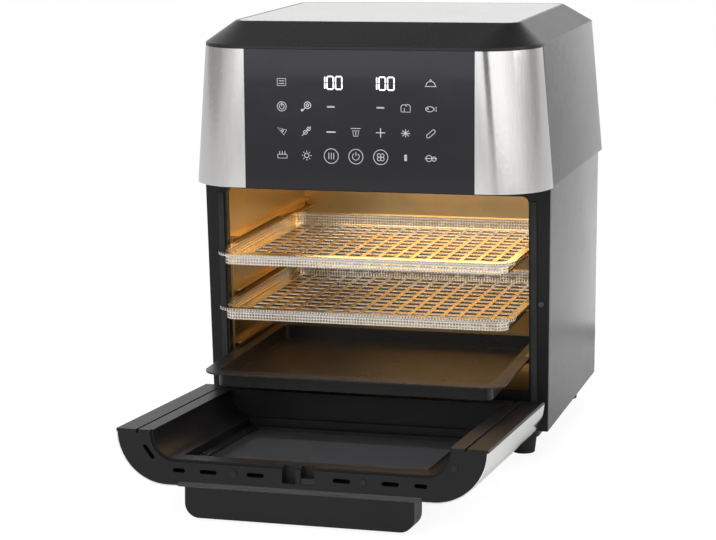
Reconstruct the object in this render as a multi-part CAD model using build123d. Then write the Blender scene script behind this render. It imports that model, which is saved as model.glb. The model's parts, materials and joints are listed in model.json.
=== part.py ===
from build123d import *
import os
from math import cos, pi, radians, sin

# Countertop air fryer oven, shown with its drop-down door open and its three trays drawn out.
# Millimetres, +Z up, +X to the right of someone facing the door, -Y towards them.
# The origin is on the surface that the feet stand on, under the middle of the whole with the door down.

# General
FIT = 0.2                # clearance between pieces that are fitted together
SEATED = 0.02            # under a screw head on its seat
PLAY = 0.05              # radial play of a pin or shaft in its bore
OVER = 1.0               # how far a cutting shape runs past what it cuts

# Head: the upper housing with the control panel
WIDTH = 320.0            # side to side at the seam
DEPTH = 300.0            # front to back at the seam
FRONT = -58.5            # where its front plane stands, measured from the origin
SEAM_Z = 243.0           # underside of the head
RIM_Z = 366.0            # top of the upright walls, where the bevel starts
TOP_Z = 383.0            # top of the bevel
FRONT_R = 48.0           # plan radius of the two front corners
BACK_R = 18.0            # plan radius of the two back corners
SIDE_LEAN = 9.4          # how far each side leans in from seam to rim
FRONT_LEAN = 4.0         # how far front and back lean in from seam to rim
SHELL_WALL = 2.5
BEVEL_FRONT = 48.0       # width of the bevel seen from above, on each side of the top plate
BEVEL_SIDE = 21.6
BEVEL_BACK = 30.0
PLATE_R = 14.0           # plan radius of the top plate's corners
PLATE_T = 1.0
PLATE_EDGE = 3.0         # black land left round the top plate
FLOOR_T = 3.0            # deck at the seam
LOUVRE_LENGTH = 34.0     # air slots in the head's back
LOUVRE_H = 4.0
LOUVRE_DEEP = 12.0       # cut this far each way from the back plane
LOUVRE_COLUMNS = 5
LOUVRE_ROWS = 5
LOUVRE_PITCH_X = 42.0
LOUVRE_PITCH_Z = 12.0
LOUVRE_LOW = 34.0        # lowest row above the seam

# Control panel
WRAP_W = 58.0            # steel wrap, from the side in to the glass
PANEL_GAP = 0.3          # joint between glass and steel trims
GLASS_T = 3.0
TRIM_T = 1.0
CARRIER_WALL = 3.0
CARRIER_SILL = 14.0      # solid carrier left over its window, and half as much on its other sides
BOARD_T = 1.6
CONTROL_BOARD_BACK = 13.0   # from the panel's front plane at the seam to the board's front
CONTROL_BOARD_IN = 12.0  # board's ends inside the glass's
CONTROL_BOARD_RISE = 4.0    # board's foot above the deck
CONTROL_BOARD_DROP = 16.0   # board's head below the carrier's top
BOARD_FOOT_W = 8.0
BOARD_FOOT_IN = 12.0     # middle of each foot in from the board's end
BOARD_FOOT_D = 12.0
BOARD_FOOT_H = 20.0      # how far up the board a foot reaches
ICON_PITCH_X = 22.0
ICON_PITCH_Z = 20.0
ICON_COLUMNS = 7
ICON_ROWS = 4
ICON_LOW_Z = 269.0       # lowest row of touch pads
DISPLAY_Z = 329.0
DISPLAY_W = 104.0
DISPLAY_H = 18.0
PAD_R = 4.0

# Lower housing
OVERHANG = 50.0          # the head's front stands this far ahead of the lower front
BODY_STEP = 3.0          # lower housing narrower than the head, each side, at the seam
BODY_TAPER = 2.5         # and this much narrower again at its foot, each side
BODY_FOOT_Z = 26.0       # lower edge of the side panels
PANEL_T = 2.0
REAR_IN = 32.0           # separate rear panel's edge, in from the side of the head
FRAME_T = 8.0            # front frame, front to back
FRAME_FLANGE = 3.0       # its front flange, which covers the panels' edges
VENT_LENGTH = 40.0       # air slots in the rear panel
VENT_H = 4.0
VENT_COLUMNS = 3
VENT_ROWS = 6
VENT_PITCH_X = 56.0
VENT_PITCH_Z = 14.0
VENT_LOW_Z = 92.0
VENT_DEEP = 20.0         # cut this far each way from behind the panel
REAR_SCREW_IN = 9.0      # each rear screw in from the panel's edge
REAR_SCREW_LOW_Z = 36.0
REAR_SCREW_PITCH = 98.0
REAR_SCREW_R = 3.5
REAR_SCREW_H = 2.1
REAR_SCREW_LIFT = 0.1    # under the head, where the panel leans
REAR_SCREW_HEX_R = 1.4
REAR_SCREW_HEX_DEEP = 1.0
SPACER_IN = 32.0         # middle of each wall spacer in from the rear panel's edge
SPACER_Z = 208.0
SPACER_W = 28.0
SPACER_H = 18.0
SPACER_T = 8.75
SPACER_LIFT = 0.25
SPACER_R = 4.0

# Cord entry
GLAND_IN = 24.0          # middle of the cord entry in from the rear panel's edge
GLAND_Z = 50.0
GLAND_R = 8.0
GLAND_BORE = 3.75
GLAND_FLANGE = 3.5       # flange stands this much proud of the bush all round
GLAND_FLANGE_T = 4.7
GLAND_LIFT = 0.3         # outer flange to the leaning panel
GLAND_BACK_T = 4.6       # inner flange
GLAND_BACK_LIFT = 0.4
GLAND_IN_LENGTH = 14.0   # bush inside the panel's outer face

# Base
FOOT_H = 16.0
FOOT_R = 12.0
FOOT_DRAFT = 2.0         # foot is this much slimmer at the floor
FOOT_BORE_R = 4.0
FOOT_BORE_DEEP = 6.0
FOOT_INSET_X = 27.0
FOOT_INSET_Y = 26.0
BASE_WALL = 3.0
PLINTH_INSET = 12.0
PLINTH_R = 10.0
INTAKE_LENGTH = 46.0     # air slots in the base
INTAKE_W = 5.0
INTAKE_COLUMNS = 3
INTAKE_ROWS = 7
INTAKE_PITCH_X = 64.0
INTAKE_PITCH_Y = 14.0

# Cavity
SIDE_ROOM = 21.5         # from the side of the head to the liner's inside
CAVITY_FLOOR = 60.0
CAVITY_BACK = 17.0       # from the head's back plane to the liner's inside back
SHEET = 1.2              # liner, ceiling and dome steel
MOUTH_LIP = 0.5          # front frame's opening inside the liner's walls
MOUTH_TOP = 234.0
MOUTH_R = 6.0
GASKET_W = 5.0
GASKET_T = 1.8
GASKET_LAP = 1.0         # gasket's inner edge below the foot bar's top
GASKET_OUT = 2.0         # gasket's inner edge outside the door's groove
GASKET_DROP = 4.0        # gasket's upper ends below the mouth's top

# Trays and their rails
RACK_ROOM = 4.5          # tray's rim to the liner's wall
RACK_LENGTH = 224.0
RACK_R = 18.0
RIM_W = 6.0
RIM_T = 2.5
RACK_DEPTH = 11.0
RACK_WALL = 1.2
LOW_RACK_Z = 86.0        # top of the lowest rim
RACK_PITCH = 49.0
RACK_HOME = 4.0          # an upper tray's rim, pushed home, lies this far behind the lower front
RACK_OUT = 54.0          # how far the two upper trays are drawn out
DRIP_LENGTH = 212.0
DRIP_DEPTH = 14.0
DRIP_RIM_W = 11.5        # wide, so that its walls pass between the door's side rails
DRIP_RIM_T = 1.6
DRIP_HOME = 15.0
DRIP_OUT = 106.0         # how far the lowest tray is drawn out
MESH_PITCH = 15.0
MESH_HOLE = 11.0
MESH_LAND = 8.0          # plain floor left round the net
RAIL_LEVELS = 3
RAIL_REACH = 9.5         # rail flange, from the liner's wall inwards
RAIL_SHORT = 3.0         # the upper flange of a pair is this much shorter
RAIL_SLACK = 0.3         # under the rim
RAIL_OVER = 3.0          # over the rim
RAIL_FRONT = 4.0         # rail's front end behind the front frame
RAIL_BACK = 3.0          # rail's back end ahead of the liner's back
RAIL_FOOT = 6.0          # rail strip's foot above the cavity floor

# Hinge and door, in the closed position
HINGE_IN = 23.0          # axis behind the head's front plane
HINGE_Z = 33.0
OPEN_ANGLE = 86.0
DOOR_SIDE_IN = 5.0       # door's side in from the side of the head
DOOR_SETBACK = 3.0       # door's face behind the head's front plane
DOOR_R = 44.0
DOOR_GAP = 2.0           # to the head above and to the front frame behind
DOOR_FOOT_Z = 20.0
DOOR_GLASS_T = 4.0
TRIM_FOOT = 4.0          # glass and steel wrap end this far above the door's foot
TRIM_BACK = 2.5          # black edge left behind the steel wrap
BAND_W = 17.0            # flat outer band of each side rail
GROOVE_W = 2.0           # groove along its inner edge
GROOVE_DEEP = 3.0
BASIN_IN = 31.0          # door's hollow side, in from the door's side
BASIN_R = 20.0           # its rounded corners, front to back
BASIN_LIP = 2.0          # rebate round it at the door's top end
LIP_T = 3.0
BAR_DEPTH = 22.0         # door's thickness under the hollow
TOP_BAR = 20.0           # plain bar along the door's top end, beyond the window's recess
BOTTOM_BAR = 26.0        # full-depth bar along the door's foot
GLASS_LAND = 8.0         # between the foot bar and the window's recess
INNER_GLASS_T = 3.0
INNER_GLASS_BACK = 11.0  # inner glass's front, behind the door's face
RECESS_IN = 20.0         # window's recess, in from the hollow's side
SEAT_W = 10.0            # seat and bezel round the inner glass
BEZEL_T = 2.0
BEZEL_SCREW = 34.0       # each bezel screw from the recess's nearer end
BEZEL_SCREW_R = 2.4
BEZEL_SCREW_H = 1.0
SLOT_W = 3.6             # cooling slots in the door's top end
SLOT_DEEP = 12.0
SLOT_LINE = 8.8          # the slots' middle line ahead of the hollow
LONG_SLOT = 14.5
SHORT_SLOT = 10.5
SLOT_NEAR_X = 36.0       # middles of the slots, each side of the door's middle
SLOT_MID_X = 76.0
SLOT_FAR_X = 101.0
CORNER_SLOT = 14.0
CORNER_SLOT_OUT = 3.0    # outside the hollow's side
CORNER_SLOT_BACK = 27.0  # behind the door's face
CORNER_SLOT_TURN = -52.0
END_SCREW_X = 54.0
END_SCREW_OUT = 4.0      # third end screw, outside the hollow's side
END_SCREW_BACK = 16.0    # and this far behind the line of the slots
END_SCREW_R = 2.6
END_SCREW_H = 0.78
CATCH_W = 11.5           # each of the two pockets of the catch
CATCH_RIB = 4.0          # between them
CATCH_DEEP = 14.0
CATCH_H = 9.0
STRIKER_T = 5.0
STRIKER_LOW = 1.0        # striker's top below the door's top end
MAGNET_W = 10.0
MAGNET_D = 12.0
MAGNET_H = 3.5
HANDLE_IN = 6.0          # handle's end in from the glass's edge
HANDLE_OUT = 25.0
HANDLE_H = 24.0
HANDLE_WALL = 4.0
HANDLE_R = 12.0
HANDLE_ROOT = 2.0        # thickness of the handle's fixing strip
EAR_IN = 25.0            # middle of each hinge ear, in from the door's side
EAR_T = 4.0
EAR_R = 6.0
EAR_DROP = 2.5           # underside of the ear's arm below the axis
EAR_TAIL = 14.0          # arm behind the front frame's back
EAR_PLATE_W = 16.0
EAR_PLATE_T = 3.0
EAR_PLATE_RISE = 20.0    # plate's top above the axis
PIN_R = 3.0
PIN_HALF = 9.0
SWING_R = 25.6           # the door's foot is rounded to this about the hinge

# Door switch
SWITCH_IN = 11.0         # plunger's axis in from the side of the head
SWITCH_Z = 140.0
SWITCH_OUTER = 3.5       # switch body outside and inside the plunger's axis
SWITCH_INNER = 7.5
SWITCH_D = 12.0
SWITCH_H = 20.0
SWITCH_BORE = 8.0
PLUNGER_R = 2.5
PLUNGER_OUT = 1.6
PLUNGER_IN = 6.0

# Air movement, over the middle of the cavity
GUARD_R = 100.0
GUARD_LAP = 6.0          # guard's edge under the ceiling's round opening
GUARD_SLOT_W = 7.0
GUARD_SLOT_SHARE = 0.72  # part of each ring that is open
GUARD_RINGS = ((26.0, 6), (42.0, 10), (58.0, 14), (74.0, 18))   # radius and number of slots
GUARD_SCREW_IN = 5.0
GUARD_SCREW_R = 3.2
GUARD_SCREW_H = 1.8
GUARD_SCREW_HEX_R = 1.2
GUARD_SCREW_HEX_DEEP = 0.9
DOME_R = 104.0
DOME_H = 46.0
DOME_EDGE_R = 10.0
SHAFT_HOLE = 3.0         # dome's hole round the shaft
ELEMENT_R = 3.25
ELEMENT_INNER = 58.0     # mean radius of the innermost half turn
ELEMENT_STEP = 12.0
ELEMENT_RISE = 14.0      # axis above the seam
ELEMENT_HALF_TURNS = 5
ELEMENT_TOP = 11.0       # its ends stand this far above the dome
ELEMENT_BEND = 10.0      # radius at which its ends turn up
BUSH_R = 5.5
BUSH_UP = 6.0            # bush above and below the dome's top
BUSH_DOWN = 4.0
BUSH_FLANGE = 2.0
BUSH_FLANGE_T = 2.5
SHAFT_R = 3.0
SHAFT_DROP = 4.0         # shaft's foot below the fan
SHAFT_RISE = 6.0         # shaft's head above the motor
FAN_R = 40.0
FAN_H = 13.0
FAN_HUB_R = 9.0
FAN_RISE = 28.0          # underside above the seam
COOLER_R = 46.0
COOLER_H = 8.0
COOLER_HUB_R = 8.0
COOLER_GAP = 4.0         # over the dome
BLADES = 9
BLADE_T = 1.2
MOTOR_R = 32.0
MOTOR_H = 30.0
COVER_T = 4.0
ROTOR_R = 16.0
ROTOR_GAP = 0.6          # to the stator
ROTOR_END = 1.0          # to each cover
COIL_COUNT = 4
COIL_D = 5.0
COIL_W = 14.0
COIL_OUT = 2.0           # coil slot's inner face outside the rotor
COIL_END = 2.0           # solid iron left over and under a coil slot
BRACKET_GAP = 3.0        # over the cooling fan
BRACKET_T = 2.0
BRACKET_LEG_R = 58.0
BRACKET_LEG_W = 18.0
BRACKET_LEG_IN = 6.0
BRACKET_LEGS = 3
BRACKET_HOLE = 4.0       # bracket's hole round the shaft
CUTOUT_X = -62.0         # thermal cutout on the dome
CUTOUT_FORWARD = 44.0
CUTOUT_R = 9.0
CUTOUT_H = 8.0
CUTOUT_TAB_HALF = 14.0
CUTOUT_TAB_W = 8.0
CUTOUT_TAB_T = 1.5

# Lamp and probe
LAMP_IN = 22.5           # lamp's middle in from the liner's wall
LAMP_BACK = 22.0         # and behind the front frame
LAMP_R = 15.0
LAMP_H = 40.0
LAMP_SOCKET = 8.0        # solid top of the lamp's cup
LENS_LAP = 3.0           # ceiling under the lens's edge
LENS_T = 3.0
LENS_DROP = 1.0          # lens below the ceiling
BULB_R = 7.0
BULB_NECK_R = 5.0
BULB_NECK = 14.0
BULB_DROP = 17.0         # bulb's middle below the socket
PROBE_IN = 7.5           # probe in from the liner's wall
PROBE_AHEAD = 30.0       # and ahead of the liner's back
PROBE_R = 2.0
PROBE_DROP = 14.0
PROBE_RISE = 3.0
PROBE_HOLE = 0.1

# Power supply
POWER_IN = 20.0          # board's outer face in from the side of the head
POWER_BACK = 88.0        # board's front end behind the head's front
POWER_LENGTH = 104.0
POWER_H = 62.0
POWER_LIFT = 3.0         # above the deck
POST_GRIP = 4.0          # post on each side of the board
POST_L = 10.0
POST_H = 18.0
RELAY_TALL = 16.0        # parts on the board: each stands this far off it
RELAY_START = 12.0       # starts this far from the board's front end
RELAY_LENGTH = 20.0
RELAY_LOW = 21.0         # and this far above the board's foot
RELAY_H = 20.0
FILM_TALL = 12.0         # capacitor
FILM_START = 38.0
FILM_LENGTH = 8.0
FILM_LOW = 19.0
FILM_H = 26.0
CORE_TALL = 20.0         # transformer
CORE_START = 52.0
CORE_LENGTH = 24.0
CORE_LOW = 21.0
CORE_H = 26.0
TERMINAL_TALL = 12.0
TERMINAL_START = 82.0
TERMINAL_LENGTH = 12.0
TERMINAL_LOW = 19.0
TERMINAL_H = 28.0
RIBBON_W = 14.0
RIBBON_T = 1.0
RIBBON_IN = 20.0         # ribbon's edge in from the control board's end
RIBBON_AHEAD = 6.0       # ribbon's run ahead of the power board
RIBBON_PLUG = 10.0       # how far it reaches up or along each board
RIBBON_LOW = 20.0        # its band up the power board
RIBBON_HIGH = 34.0

# Places worked out from the sizes above
BACK = FRONT + DEPTH
FRAME_Y = FRONT + OVERHANG
FRAME_BACK = FRAME_Y + FRAME_T
LINER_BACK = BACK - CAVITY_BACK
FAN_Y = (FRAME_BACK + LINER_BACK) / 2
CAVITY_HALF = WIDTH / 2 - SIDE_ROOM
MOUTH_HALF = CAVITY_HALF - MOUTH_LIP
RACK_HALF = CAVITY_HALF - RACK_ROOM
PANEL_HALF = WIDTH / 2 - WRAP_W
REAR_HALF = WIDTH / 2 - REAR_IN
DECK_Z = SEAM_Z + FLOOR_T
CARRIER_TOP = RIM_Z - SHELL_WALL - FIT
BOARD_Y = FRONT + CONTROL_BOARD_BACK
BOARD_HALF = PANEL_HALF - CONTROL_BOARD_IN
BOARD_Z0 = DECK_Z + CONTROL_BOARD_RISE
BOARD_Z1 = CARRIER_TOP - CONTROL_BOARD_DROP
HINGE_Y = FRONT + HINGE_IN
DOOR_HALF = WIDTH / 2 - DOOR_SIDE_IN
DOOR_Y = FRONT + DOOR_SETBACK
DOOR_BACK = FRAME_Y - DOOR_GAP
DOOR_TOP = SEAM_Z - DOOR_GAP
GROOVE_X = DOOR_HALF - BAND_W
BASIN_HALF = DOOR_HALF - BASIN_IN
RECESS_HALF = BASIN_HALF - RECESS_IN
BAR_Y = DOOR_Y + BAR_DEPTH
SLOT_Y = BAR_Y - SLOT_LINE
OPEN_Z = DOOR_FOOT_Z + BOTTOM_BAR
INNER_GLASS_Y = DOOR_Y + INNER_GLASS_BACK
RECESS_Z0 = OPEN_Z + GLASS_LAND
RECESS_Z1 = DOOR_TOP - TOP_BAR
HANDLE_HALF = PANEL_HALF - HANDLE_IN
CATCH_X = (CATCH_W + CATCH_RIB) / 2
EAR_X = DOOR_HALF - EAR_IN
SWITCH_X = WIDTH / 2 - SWITCH_IN
GLAND_X = GLAND_IN - REAR_HALF
CEILING_Z = SEAM_Z - SHEET
DOME_TOP = SEAM_Z + DOME_H
COOLER_Z = DOME_TOP + COOLER_GAP
BRACKET_Z = COOLER_Z + COOLER_H + BRACKET_GAP
MOTOR_Z = BRACKET_Z + BRACKET_T
STATOR_Z0 = MOTOR_Z + COVER_T
STATOR_Z1 = MOTOR_Z + MOTOR_H - COVER_T
LAMP_X = CAVITY_HALF - LAMP_IN
LAMP_Y = FRAME_BACK + LAMP_BACK
PROBE_X = PROBE_IN - CAVITY_HALF
PROBE_Y = LINER_BACK - PROBE_AHEAD
POWER_X = POWER_IN - WIDTH / 2
POWER_Y0 = FRONT + POWER_BACK
POWER_Y1 = POWER_Y0 + POWER_LENGTH


def block(x0, x1, y0, y1, z0, z1):
    """A box between two corners."""
    centre = Pos((x0 + x1) / 2, (y0 + y1) / 2, (z0 + z1) / 2)
    return centre * Box(abs(x1 - x0), abs(y1 - y0), abs(z1 - z0))


def middle_block(half, y0, y1, z0, z1):
    """A box as wide on the left as on the right."""
    return block(-half, half, y0, y1, z0, z1)


def upright(radius, z0, z1, x=0.0, y=0.0):
    """A cylinder standing on z0."""
    return Pos(x, y, (z0 + z1) / 2) * Cylinder(radius, z1 - z0)


def along_y(radius, y0, y1, x, z):
    """A cylinder lying front to back."""
    return Pos(x, (y0 + y1) / 2, z) * Rot(90, 0, 0) * Cylinder(radius, y1 - y0)


def along_x(radius, x0, x1, y, z):
    """A cylinder lying side to side."""
    return Pos((x0 + x1) / 2, y, z) * Rot(0, 90, 0) * Cylinder(radius, x1 - x0)


def plan(half_width, y_front, y_back, r_front, r_back):
    """A rounded rectangle seen from above, its front corners apart from its back ones."""
    sheet = Pos(0, (y_front + y_back) / 2) * Rectangle(2 * half_width, y_back - y_front)
    if r_front > 0:
        sheet = fillet(sheet.vertices().group_by(Axis.Y)[0], r_front)
    if r_back > 0:
        sheet = fillet(sheet.vertices().group_by(Axis.Y)[-1], r_back)
    return sheet


def standing(sheet, z0, z1):
    """A plan sheet pulled up from z0 to z1."""
    return extrude(Pos(0, 0, z0) * sheet, z1 - z0)


def ruled(low, z0, high, z1):
    """A straight-sided loft between two plan sheets."""
    return loft([Pos(0, 0, z0) * low, Pos(0, 0, z1) * high], ruled=True)


def level_slot(length, height, deep):
    """A cutting shape for a level slot in an upright wall, deep each way from it."""
    return Rot(90, 0, 0) * extrude(SlotOverall(length, height), deep, both=True)


def turned(shape, count, step, first=0.0):
    """A shape turned about the middle of the fan for the number given."""
    return Pos(0, FAN_Y, 0) * Rot(0, 0, first + step * count) * shape


def group(solids):
    """Separate solids kept in one node."""
    return Compound(children=[s for item in solids for s in item.solids()])


def save(shape, name):
    shape = shape if isinstance(shape, (Compound, Part, Solid)) else Compound(list(shape))
    export_step(shape, f"parts/{name}.step")


# Outlines of the head

def lean_at(z):
    """How much of the head's lean is reached at height z."""
    return (z - SEAM_Z) / (RIM_Z - SEAM_Z)


def head_plan(inset, z):
    """The head's outline at height z, drawn in by inset."""
    side = SIDE_LEAN * lean_at(z)
    ends = FRONT_LEAN * lean_at(z)
    return plan(
        WIDTH / 2 - side - inset, FRONT + ends + inset, BACK - ends - inset,
        FRONT_R - inset, BACK_R - inset,
    )


def head_block(inset, z0, z1):
    return ruled(head_plan(inset, z0), z0, head_plan(inset, z1), z1)


def head_layer(outer, inner, z0, z1):
    """One skin of the head between two insets."""
    return head_block(outer, z0, z1) - head_block(inner, z0, z1)


def front_zone(half, z0, z1):
    """Everything ahead of where the front corners meet the sides."""
    return middle_block(half, FRONT - OVER, FRONT + FRONT_R, z0, z1)


def top_plan(inset):
    return plan(
        WIDTH / 2 - SIDE_LEAN - BEVEL_SIDE - inset,
        FRONT + FRONT_LEAN + BEVEL_FRONT + inset,
        BACK - FRONT_LEAN - BEVEL_BACK - inset,
        PLATE_R - inset, PLATE_R - inset,
    )


def glass_back(z):
    """The control glass's rear face at height z."""
    return FRONT + GLASS_T + FRONT_LEAN * lean_at(z)


# Head

def head_shell():
    """Upper housing: side and back walls, and the bevel round the top plate."""
    shell = head_block(0, SEAM_Z, RIM_Z) + ruled(head_plan(0, RIM_Z), RIM_Z, top_plan(0), TOP_Z)
    roof_z = TOP_Z - 2 * SHELL_WALL
    hollow = head_block(SHELL_WALL, SEAM_Z - OVER, RIM_Z)
    hollow += ruled(head_plan(SHELL_WALL, RIM_Z), RIM_Z, top_plan(SHELL_WALL), roof_z)
    shell -= hollow
    shell -= front_zone(WIDTH, SEAM_Z - OVER, RIM_Z - SHELL_WALL)
    shell -= standing(top_plan(PLATE_EDGE), TOP_Z - PLATE_T, TOP_Z + OVER)
    louvre = level_slot(LOUVRE_LENGTH, LOUVRE_H, LOUVRE_DEEP)
    for column in range(LOUVRE_COLUMNS):
        x = (column - (LOUVRE_COLUMNS - 1) / 2) * LOUVRE_PITCH_X
        for row in range(LOUVRE_ROWS):
            shell -= Pos(x, BACK, SEAM_Z + LOUVRE_LOW + row * LOUVRE_PITCH_Z) * louvre
    return shell


def top_plate():
    return standing(top_plan(PLATE_EDGE + FIT), TOP_Z - PLATE_T, TOP_Z)


def control_glass():
    glass = head_layer(0, GLASS_T, SEAM_Z, CARRIER_TOP)
    return glass & front_zone(PANEL_HALF - PANEL_GAP, SEAM_Z, CARRIER_TOP)


def head_trim(side):
    """Steel wrap from the glass round the head's front corner."""
    trim = head_layer(0, TRIM_T, SEAM_Z, CARRIER_TOP)
    edge = FRONT + FRONT_R - FIT
    return trim & block(side * PANEL_HALF, side * WIDTH, FRONT - OVER, edge, SEAM_Z, CARRIER_TOP)


def left_head_trim():
    return head_trim(-1)


def right_head_trim():
    return head_trim(1)


def panel_carrier():
    """Black moulding behind the glass and the steel, open behind the touch pads."""
    inner = TRIM_T + CARRIER_WALL
    carrier = head_layer(TRIM_T, inner, DECK_Z, CARRIER_TOP) & front_zone(WIDTH, DECK_Z, CARRIER_TOP)
    web = head_layer(GLASS_T, GLASS_T + CARRIER_WALL, DECK_Z, CARRIER_TOP)
    glass_room = FRONT + inner + FRONT_LEAN
    carrier -= middle_block(PANEL_HALF, FRONT - OVER, glass_room, DECK_Z - OVER, CARRIER_TOP + OVER)
    carrier += web & front_zone(PANEL_HALF + 2 * CARRIER_WALL, DECK_Z, CARRIER_TOP)
    sill = CARRIER_SILL / 2
    return carrier - front_zone(PANEL_HALF - sill, DECK_Z + sill, CARRIER_TOP - CARRIER_SILL)


def control_board():
    """Upright circuit board standing on the deck on two feet."""
    back = BOARD_Y + BOARD_T
    board = middle_block(BOARD_HALF, BOARD_Y, back, BOARD_Z0, BOARD_Z1)
    for side in (-1, 1):
        x = side * (BOARD_HALF - BOARD_FOOT_IN)
        board += block(
            x - BOARD_FOOT_W / 2, x + BOARD_FOOT_W / 2, back, back + BOARD_FOOT_D,
            DECK_Z, BOARD_Z0 + BOARD_FOOT_H,
        )
    return board


def display_module():
    top = DISPLAY_Z + DISPLAY_H / 2
    return middle_block(DISPLAY_W / 2, glass_back(top) + FIT, BOARD_Y, DISPLAY_Z - DISPLAY_H / 2, top)


def touch_springs():
    """One sprung contact behind each touch pad, between board and glass."""
    pads = []
    for row in range(ICON_ROWS):
        z = ICON_LOW_Z + row * ICON_PITCH_Z
        beside_display = abs(z - DISPLAY_Z) < DISPLAY_H / 2
        for column in range(ICON_COLUMNS):
            x = (column - (ICON_COLUMNS - 1) / 2) * ICON_PITCH_X
            if beside_display and abs(x) < DISPLAY_W / 2 + PAD_R:
                continue
            pads.append(along_y(PAD_R, glass_back(z + PAD_R) + FIT, BOARD_Y, x, z))
    return group(pads)


def head_floor():
    """Plastic deck at the seam, with the posts that grip the power board."""
    z0, z1 = SEAM_Z - OVER, DECK_Z + OVER
    deck = head_block(SHELL_WALL + FIT, SEAM_Z, DECK_Z)
    nose = head_block(TRIM_T + FIT, SEAM_Z, DECK_Z)
    deck += nose & middle_block(WIDTH, FRONT, FRONT + FRONT_R - OVER, SEAM_Z, DECK_Z)
    deck -= middle_block(PANEL_HALF, FRONT - OVER, FRONT + GLASS_T + FIT, z0, z1)
    deck -= upright(DOME_R + 2 * FIT, z0, z1, 0, FAN_Y)
    deck -= upright(LAMP_R + FIT, z0, z1, LAMP_X, LAMP_Y)
    deck -= upright(PROBE_R + FIT, z0, z1, PROBE_X, PROBE_Y)
    for y in (POWER_Y0, POWER_Y1):
        y0, y1 = y - POST_L / 2, y + POST_L / 2
        post_top = DECK_Z + POST_H
        post = block(POWER_X - POST_GRIP, POWER_X + BOARD_T + POST_GRIP, y0, y1, DECK_Z, post_top)
        groove_foot = DECK_Z + POWER_LIFT
        deck += post - block(POWER_X, POWER_X + BOARD_T, y0 - OVER, y1 + OVER, groove_foot, z1 + POST_H)
    return deck


def catch_magnet():
    """Block on the deck, over the door's catch when it is shut."""
    y = BAR_Y - CATCH_DEEP / 2
    return block(
        CATCH_X - MAGNET_W / 2, CATCH_X + MAGNET_W / 2, y - MAGNET_D / 2, y + MAGNET_D / 2,
        DECK_Z, DECK_Z + MAGNET_H,
    )


# Lower housing

def body_narrow(z):
    """How far the lower housing's sides stand in from the head's at height z."""
    return BODY_STEP + BODY_TAPER * (SEAM_Z - z) / (SEAM_Z - BODY_FOOT_Z)


def body_plan(inset, z):
    narrow = body_narrow(z)
    return plan(WIDTH / 2 - narrow - inset, FRAME_Y, BACK - narrow - inset, 0, BACK_R - inset)


def body_block(inset):
    """The lower housing's whole height, drawn in by inset."""
    return ruled(body_plan(inset, BODY_FOOT_Z), BODY_FOOT_Z, body_plan(inset, SEAM_Z), SEAM_Z)


def body_wrap():
    """Side and rear walls as one skin, open at the front."""
    return body_block(0) - body_block(PANEL_T)


def side_panel(side):
    panel_front = FRAME_Y + FRAME_FLANGE + FIT
    keep = block(0, side * WIDTH, panel_front, BACK + OVER, BODY_FOOT_Z, SEAM_Z)
    keep -= middle_block(REAR_HALF + FIT, FAN_Y, BACK + OVER, BODY_FOOT_Z, SEAM_Z)
    return body_wrap() & keep


def left_side_panel():
    return side_panel(-1)


def right_side_panel():
    return side_panel(1)


def rear_wall_y(z):
    """Outside of the rear panel at height z."""
    return BACK - body_narrow(z)


def rear_panel():
    panel = body_wrap() & middle_block(REAR_HALF, FAN_Y, BACK + OVER, BODY_FOOT_Z, SEAM_Z)
    vent = level_slot(VENT_LENGTH, VENT_H, VENT_DEEP)
    for column in range(VENT_COLUMNS):
        x = (column - (VENT_COLUMNS - 1) / 2) * VENT_PITCH_X
        for row in range(VENT_ROWS):
            panel -= Pos(x, BACK, VENT_LOW_Z + row * VENT_PITCH_Z) * vent
    return panel - along_y(GLAND_R + FIT, BACK - VENT_DEEP, BACK + OVER, GLAND_X, GLAND_Z)


def cord_gland():
    """Moulded bush that the mains lead would pass through."""
    face = rear_wall_y(GLAND_Z)
    back = face - PANEL_T - GLAND_BACK_LIFT
    tip = face + GLAND_LIFT + GLAND_FLANGE_T
    bush = along_y(GLAND_R, face - GLAND_IN_LENGTH, tip, GLAND_X, GLAND_Z)
    bush += along_y(GLAND_R + GLAND_FLANGE, face + GLAND_LIFT, tip, GLAND_X, GLAND_Z)
    bush += along_y(GLAND_R + GLAND_FLANGE, back - GLAND_BACK_T, back, GLAND_X, GLAND_Z)
    return bush - along_y(GLAND_BORE, face - GLAND_IN_LENGTH - OVER, tip + OVER, GLAND_X, GLAND_Z)


def wall_spacers():
    """Two pads that keep the hot rear off a wall."""
    y = rear_wall_y(SPACER_Z) + SPACER_LIFT
    pads = []
    for side in (-1, 1):
        x = side * (REAR_HALF - SPACER_IN)
        pad = block(
            x - SPACER_W / 2, x + SPACER_W / 2, y, y + SPACER_T,
            SPACER_Z - SPACER_H / 2, SPACER_Z + SPACER_H / 2,
        )
        pads.append(fillet(pad.edges().filter_by(Axis.Y), SPACER_R))
    return group(pads)


def rear_screws():
    """Three socket screws down each side of the rear panel."""
    heads = []
    for side in (-1, 1):
        x = side * (REAR_HALF - REAR_SCREW_IN)
        for row in range(3):
            z = REAR_SCREW_LOW_Z + row * REAR_SCREW_PITCH
            seat = rear_wall_y(z - REAR_SCREW_R) + REAR_SCREW_LIFT
            top = seat + REAR_SCREW_H
            socket = along_y(REAR_SCREW_HEX_R, top - REAR_SCREW_HEX_DEEP, top + OVER, x, z)
            heads.append(along_y(REAR_SCREW_R, seat, top, x, z) - socket)
    return group(heads)


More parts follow.
